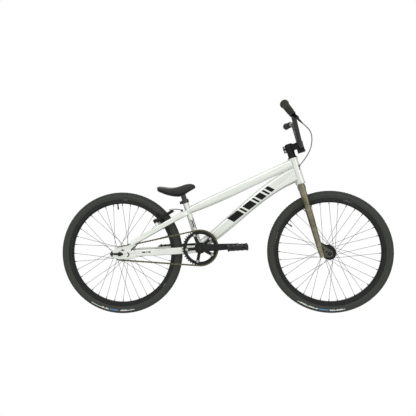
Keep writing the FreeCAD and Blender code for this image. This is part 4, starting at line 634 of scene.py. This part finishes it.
def build_cover():
    """The padded cover: crowned, drawn in along the seam and closed underneath."""
    points = []
    for i in range(SADDLE_ROWS):
        for j in range(SADDLE_AROUND):
            share = j / (SADDLE_AROUND - 1)
            side = min(share, 1 - share)
            seam = -0.0012 * math.exp(-((side - 0.12) / 0.008) ** 2)
            roll = 0.0006 * math.exp(-((side - 0.15) / 0.02) ** 2)
            points.append(saddle_ring(i / (SADDLE_ROWS - 1), cover_angle(share), seam + roll))
    faces = grid_faces(SADDLE_ROWS, SADDLE_AROUND)
    under = len(points)
    for i in range(SADDLE_ROWS):
        left, right = points[i * SADDLE_AROUND], points[(i + 1) * SADDLE_AROUND - 1]
        points += [left.lerp(right, k / (UNDER_AROUND + 1)) for k in range(1, UNDER_AROUND + 1)]

    def under_row(i):
        between_edges = [under + i * UNDER_AROUND + k for k in range(UNDER_AROUND)]
        return [i * SADDLE_AROUND] + between_edges + [(i + 1) * SADDLE_AROUND - 1]

    for i in range(SADDLE_ROWS - 1):
        row, after = under_row(i), under_row(i + 1)
        faces += [(row[k], after[k], after[k + 1], row[k + 1]) for k in range(UNDER_AROUND + 1)]
    for i in (0, SADDLE_ROWS - 1):
        over_row = [i * SADDLE_AROUND + j for j in range(SADDLE_AROUND)]
        faces.append(tuple(over_row + under_row(i)[-2:0:-1]))
    cover = make_piece("saddle_padded_cover", points, faces, VINYL, "seat", "saddle_cover")
    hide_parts("saddle_cover")


def build_base():
    """The moulded base that the cover is pulled over, a little inside its skin."""
    points = []
    for i in range(SADDLE_ROWS):
        place = 0.012 + 0.976 * i / (SADDLE_ROWS - 1)
        row = [saddle_ring(place, COVER_STOP + (2 * COVER_START + math.pi) * j / (BASE_AROUND - 1), -0.0010)
               for j in range(BASE_AROUND)]
        top = [row[0].lerp(row[-1], k / 4) + Vector((0, 0, 0.001)) for k in (3, 2, 1)]
        points += row + top
    around = BASE_AROUND + 3
    faces = grid_faces(SADDLE_ROWS, around, False, True)
    faces += [tuple(range(around))[::-1], tuple(range((SADDLE_ROWS - 1) * around, SADDLE_ROWS * around))]
    base = make_piece("saddle_moulded_base", points, faces, NYLON, "seat", "saddle_plastic")
    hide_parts("saddle_base")


def build_seam():
    """A piped edge and a line of stitches along each side of the cover."""
    stitches, piping = [], []
    for mirrored in (False, True):
        around = cover_angle(1 - STITCH_SHARE if mirrored else STITCH_SHARE)
        for n in range(0, STITCHES - 1, 2):
            place = 0.03 + 0.94 * n / STITCHES
            after = 0.03 + 0.94 * (n + 1.1) / STITCHES
            thread = [saddle_ring(place, around, 0.0009), saddle_ring((place + after) / 2, around, 0.0013),
                      saddle_ring(after, around, 0.0009)]
            stitches.append(tube_mesh(thread, 0.00028, 6))
        around = cover_angle(1 - PIPING_SHARE if mirrored else PIPING_SHARE)
        edge = [saddle_ring(0.015 + 0.97 * n / 119, around) for n in range(120)]
        piping.append(tube_mesh(edge, 0.0009, 8))
    make_piece("saddle_stitches", *merge(stitches), THREAD, "seat", "saddle_cover")
    make_piece("saddle_piping", *merge(piping), VINYL, "seat", "saddle_cover")


build_cover()
build_base()
build_seam()


# ---------------------------------------------------------------- cables

# Centre lines of the brake cable's two ends: lever to frame port, and frame port to the noodle.
FRONT_POINTS = [(0.3440, -0.1755, 0.8955), (0.3597, -0.1717, 0.8823), (0.384, -0.143, 0.872),
                (0.402, -0.115, 0.852), (0.409, -0.090, 0.826), (0.409, -0.066, 0.796),
                (0.397, -0.042, 0.763), (0.381, -0.026, 0.738), (0.3626, -0.0125, 0.7152)]
REAR_POINTS = [(-0.2390, -0.0470, 0.5097), (-0.2250, -0.0470, 0.5109), (-0.2120, -0.0340, 0.5077),
               (-0.2070, -0.0160, 0.5030)]
HOUSING_RADIUS = 0.0024


def cable_piece(name, route, body, count):
    """A cable housing along the smooth line that a route's points control."""
    path = smooth_curve([Vector(point) for point in route], count)
    return make_piece(name, *tube_mesh(path, HOUSING_RADIUS, 14), HOUSING, body, "cable_grey")


front_cable = cable_piece("front_brake_housing", FRONT_POINTS, None, 160)
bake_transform(front_cable)
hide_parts("front_brake_cable")
rear_cable = cable_piece("rear_brake_housing", REAR_POINTS, "frame", 60)
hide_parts("rear_brake_cable")


def ferrule(name, tip, direction, body):
    """A crimped metal end on a housing."""
    profile = [(0.0026, 0), (0.0031, 0.0004), (0.0031, 0.003), (0.0028, 0.0034), (0.0031, 0.0038),
               (0.0031, 0.008), (0.0026, 0.0084)]
    make_piece(name, *lathe_mesh(profile, tip, direction, 24), DARK_STEEL, body, "bolt_steel")


def grommet(name, route):
    """A rubber lip round a cable where its route's last point enters the frame."""
    port, before = Vector(route[-1]), Vector(route[-2])
    radius = 0.0046
    profile = [(0.0026, -0.004), (radius - 0.001, -0.004), (radius, -0.0015), (radius + 0.0016, 0),
               (radius + 0.0012, 0.0014), (radius - 0.001, 0.002), (0.0026, 0.0022)]
    make_piece(name, *lathe_mesh(profile, port, before - port, 28), RUBBER, "frame", "grip_rubber")


ferrule("front_ferrule", Vector(FRONT_POINTS[0]), Vector(FRONT_POINTS[1]) - Vector(FRONT_POINTS[0]),
        "steering")
grommet("front_port_grommet", FRONT_POINTS)
grommet("rear_port_grommet", REAR_POINTS)


# ---------------------------------------------------------------- welds

WELD_RAYS = 96
SKIN_REACH, SKIN_LIFT, JOINT_REACH = 0.09, 0.0006, 0.11
RIPPLE_STEP = 0.0008


def weld(name, tube, others, base, along, width=0.0019):
    """A rippled bead where a tube meets its neighbours, found by looking along the tube's own skin."""
    skin, wall = surface_tree(tube), surface_tree(*others)
    along = Vector(along).normalized()
    first, second = across(along)
    found = []
    for n in range(WELD_RAYS):
        angle = 2 * math.pi * n / WELD_RAYS
        out = first * math.cos(angle) + second * math.sin(angle)
        hit = skin.ray_cast(Vector(base) + out * SKIN_REACH, -out, SKIN_REACH - 0.001)[0]
        if hit is None:
            continue
        toe = wall.ray_cast(hit + out * SKIN_LIFT, along, JOINT_REACH)[0]
        if toe is not None:
            found.append(toe - along * 0.0004)
    for _ in range(2):
        found = [(found[k - 1] + found[k] * 2 + found[(k + 1) % len(found)]) / 4
                 for k in range(len(found))]
    length = sum((found[k] - found[k - 1]).length for k in range(len(found)))
    path = resample(found, max(60, int(length / RIPPLE_STEP)), closed=True)

    def ripple(i):
        return width * (0.86 + 0.16 * abs(math.sin(math.pi * i / 4)))

    make_piece(name, *tube_mesh(path, ripple, 8, closed=True), WELD, "frame", "frame_alloy")


HEAD = Vector(JOINTS["steering_turn"]["pos_m"])
STEER_UP = Vector(JOINTS["steering_turn"]["axis"])
BB = Vector(JOINTS["crank_spin"]["pos_m"])
SEAT_UP = Vector(JOINTS["seat_height"]["axis"])
TOP_WAY, DOWN_WAY = Vector((0.911, 0, 0.412)), Vector((0.786, 0, 0.618))
weld("weld_top_head", "top_tube", ["head_tube"], (0.283, 0, 0.7065), TOP_WAY)
weld("weld_down_shell", "down_tube", ["bb_shell", "seat_tube"], (-0.066, 0, 0.3730), -DOWN_WAY)
weld("weld_seat_shell", "seat_tube", ["bb_shell"], BB + Vector((-0.004, 0, 0)) + SEAT_UP * 0.050,
     -SEAT_UP)
for side_name, side in (("right", -1), ("left", 1)):
    weld(f"weld_chain_stay_{side_name}", f"chain_stay_{side_name}", ["bb_shell"],
         (BB.x - 0.040, side * 0.0285, 0.3130), (1, -side * 0.03, 0.03), width=0.0015)
    weld(f"weld_seat_stay_{side_name}", f"seat_stay_{side_name}", ["top_tube", "seat_tube"],
         (-0.212, side * 0.0262, 0.4795), (0.82, -side * 0.34, 0.46), width=0.0015)


# ---------------------------------------------------------------- printed graphics

PRINT_REACH, PRINT_GRID = 0.08, 0.002
BAR_START = (0.024, 0.0, 0.4480)


def tube_print(name, tube, base, along, side, shapes, finish):
    """Flat shapes laid on a tube's skin. Each shape is four corners, as (along the tube, up across it)."""
    skin = surface_tree(tube)
    along, out = Vector(along).normalized(), Vector((0, side, 0))
    up = along.cross(Vector((0, -1, 0))).normalized()
    parts = []
    for a, b, c, d in shapes:
        columns = max(2, int(max(abs(b[0] - a[0]), abs(c[0] - d[0])) / PRINT_GRID))
        rows = max(2, int(max(abs(d[1] - a[1]), abs(c[1] - b[1])) / PRINT_GRID))
        points = []
        for i in range(rows + 1):
            for j in range(columns + 1):
                s, t = j / columns, i / rows
                x = (a[0] * (1 - s) + b[0] * s) * (1 - t) + (d[0] * (1 - s) + c[0] * s) * t
                y = (a[1] * (1 - s) + b[1] * s) * (1 - t) + (d[1] * (1 - s) + c[1] * s) * t
                spot = Vector(base) + along * x + up * y + out * PRINT_REACH
                hit, normal, _, _ = skin.ray_cast(spot, -out, PRINT_REACH)
                points.append(hit + (normal if normal.dot(out) > 0 else -normal) * PRINT_LIFT)
        parts.append((points, grid_faces(rows + 1, columns + 1)))
    make_piece(name, *merge(parts), finish, "frame", "frame_alloy")


def slanted(start, long, low, high, lean):
    """The corners of a bar: long is its length, and its top is shifted forward by lean times its height."""
    shift = lean * (high - low)
    return (start, low), (start + long, low), (start + long + shift, high), (start + shift, high)


# Where each bar starts along the tube, and how long it is.
BARS = [slanted(start, long, -0.0195, 0.0150, 0.45) for start, long in
        ((0.000, 0.064), (0.073, 0.011), (0.093, 0.048), (0.150, 0.011), (0.170, 0.032), (0.211, 0.011),
         (0.231, 0.020))]
DASHES = [slanted(start, long, -0.0030, 0.0030, 0.4) for start, long in
          ((0.000, 0.016), (0.020, 0.005), (0.029, 0.012))]
STRIPES = [slanted(0.000, 0.056, -0.0085, -0.0060, 0.0), slanted(0.008, 0.040, -0.0030, 0.0030, 0.0),
           slanted(0.000, 0.056, 0.0060, 0.0085, 0.0)]
for side_name, side in (("right", -1), ("left", 1)):
    tube_print(f"down_tube_bars_{side_name}", "down_tube", BAR_START, DOWN_WAY, side, BARS, DECAL)
    tube_print(f"chain_stay_dashes_{side_name}", f"chain_stay_{side_name}",
               (-0.395, side * 0.05, 0.3055), (1, 0, 0.045), side, DASHES, DECAL)
    tube_print(f"seat_tube_stripes_{side_name}", "seat_tube", BB + SEAT_UP * 0.092, SEAT_UP, side,
               STRIPES, DECAL)


# ---------------------------------------------------------------- grips, fork and pedals

def islands(node):
    """The separate solids of a node, each as a list of its points."""
    mesh = NODES[node].data
    root = list(range(len(mesh.vertices)))

    def find(i):
        while root[i] != i:
            root[i] = root[root[i]]
            i = root[i]
        return i

    for edge in mesh.edges:
        a, b = find(edge.vertices[0]), find(edge.vertices[1])
        if a != b:
            root[a] = b
    groups = {}
    for vertex in mesh.vertices:
        groups.setdefault(find(vertex.index), []).append(vertex.co.copy())
    return list(groups.values())


def mean(points):
    """The middle of some points."""
    return sum(points, Vector()) / len(points)


def end_line(points, axis):
    """The middles of a long solid's two ends, found along a rough axis."""
    ranked = sorted(points, key=lambda p: p.dot(Vector(axis)))
    count = max(6, len(ranked) // 12)
    return mean(ranked[:count]), mean(ranked[-count:])


def circle_directions(along, count):
    """Unit vectors all round a direction."""
    first, second = across(along)
    angles = [2 * math.pi * k / count for k in range(count)]
    return [first * math.cos(angle) + second * math.sin(angle) for angle in angles]


RIBS = 22


def build_grip(side):
    """Ribs round a grip, with a plain collar left at its inner end."""
    points = islands(f"grip_{side}")[0]
    low, high = end_line(points, (0, 1, 0))
    line = (high - low).normalized()
    radii = sorted(((p - low) - line * (p - low).dot(line)).length for p in points)
    radius = radii[len(radii) // 2]
    inner, outer = (low, high) if abs(low.y) < abs(high.y) else (high, low)
    along = (outer - inner).normalized()
    parts = []
    for n in range(RIBS):
        place = inner + along * ((outer - inner).length * (0.14 + 0.78 * n / (RIBS - 1)))
        ring = [place + out * radius for out in circle_directions(along, 40)]
        parts.append(tube_mesh(ring, 0.0013, 8, closed=True))
    make_piece(f"grip_ribs_{side}", *merge(parts), RUBBER, "steering", "grip_rubber")


build_grip("right")
build_grip("left")
FORK_REACH = 0.06


def fork_bands(leg):
    """Two fine dark rings round a fork leg."""
    skin = surface_tree(leg)
    low, high = end_line(islands(leg)[0], STEER_UP)
    along = (low - high).normalized()
    parts = []
    for share in (0.26, 0.275):
        place = high + along * ((low - high).length * share)
        ring = [skin.ray_cast(place + out * FORK_REACH, -out, FORK_REACH)[0]
                for out in circle_directions(along, 48)]
        parts.append(tube_mesh(ring, 0.0008, 6, closed=True))
    make_piece(f"{leg}_bands", *merge(parts), DARK_STEEL, "steering", "dark_steel")


fork_bands("fork_leg_right")
fork_bands("fork_leg_left")
SLIT = [((0.000, -0.0016), (0.024, -0.0016), (0.024, 0.0016), (0.000, 0.0016))]
tube_print("head_slit", "head_tube", HEAD + Vector((0.0125, 0, 0.004)), STEER_UP, -1, SLIT, RUBBER)


def build_pins(side):
    """Threaded traction pins standing on both faces of a pedal's cage."""
    low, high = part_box(f"pedal_{side}")
    middle, size = (low + high) / 2, high - low
    cage = surface_tree(f"pedal_{side}")
    profile = [(0.0018, -0.001), (0.0018, 0.0026), (0.0014, 0.0032)]
    parts = []
    for face in (-1, 1):
        for n in range(-2, 3):
            for row in (-1, 1):
                spot = middle + Vector((size.x * n * 0.21, size.y * 0.43 * row, face * 0.05))
                hit = cage.ray_cast(spot, Vector((0, 0, -face)), 0.1)[0]
                if hit is not None:
                    parts.append(lathe_mesh(profile, hit, (0, 0, face), 12))
    make_piece(f"pedal_pins_{side}", *merge(parts), STEEL, f"{side}_pedal", "bolt_steel")


build_pins("right")
build_pins("left")


# ---------------------------------------------------------------- brake wire

STAY_ANGLE = math.radians(119.4)
STAY_UP = Vector((math.cos(STAY_ANGLE), 0, math.sin(STAY_ANGLE)))


def build_wire():
    """The bare brake wire from the noodle to the left arm, and the rubber bellows over its start."""
    low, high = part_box("brake_arm_left")
    tip = mean(sorted(islands("brake_noodle")[0], key=lambda p: -p.y)[:12])
    arm = max(islands("brake_arm_left")[0], key=lambda p: p.dot(STAY_UP))
    goal = Vector((arm.x, (low.y + high.y) / 2, arm.z)) - STAY_UP * 0.006
    along = goal - tip
    bellows = [(0.0024, 0)]
    for n in range(7):
        bellows += [(0.0052, 0.002 + n * 0.004), (0.0036, 0.004 + n * 0.004)]
    bellows += [(0.0020, 0.033)]
    make_piece("wire_bellows", *lathe_mesh(bellows, tip, along, 20), RUBBER, "brake_right",
               "grip_rubber")
    path = [tip + along * (k / 12) for k in range(13)]
    make_piece("bare_wire", *tube_mesh(path, 0.0008, 8), STEEL, "brake_right", "bolt_steel")


build_wire()
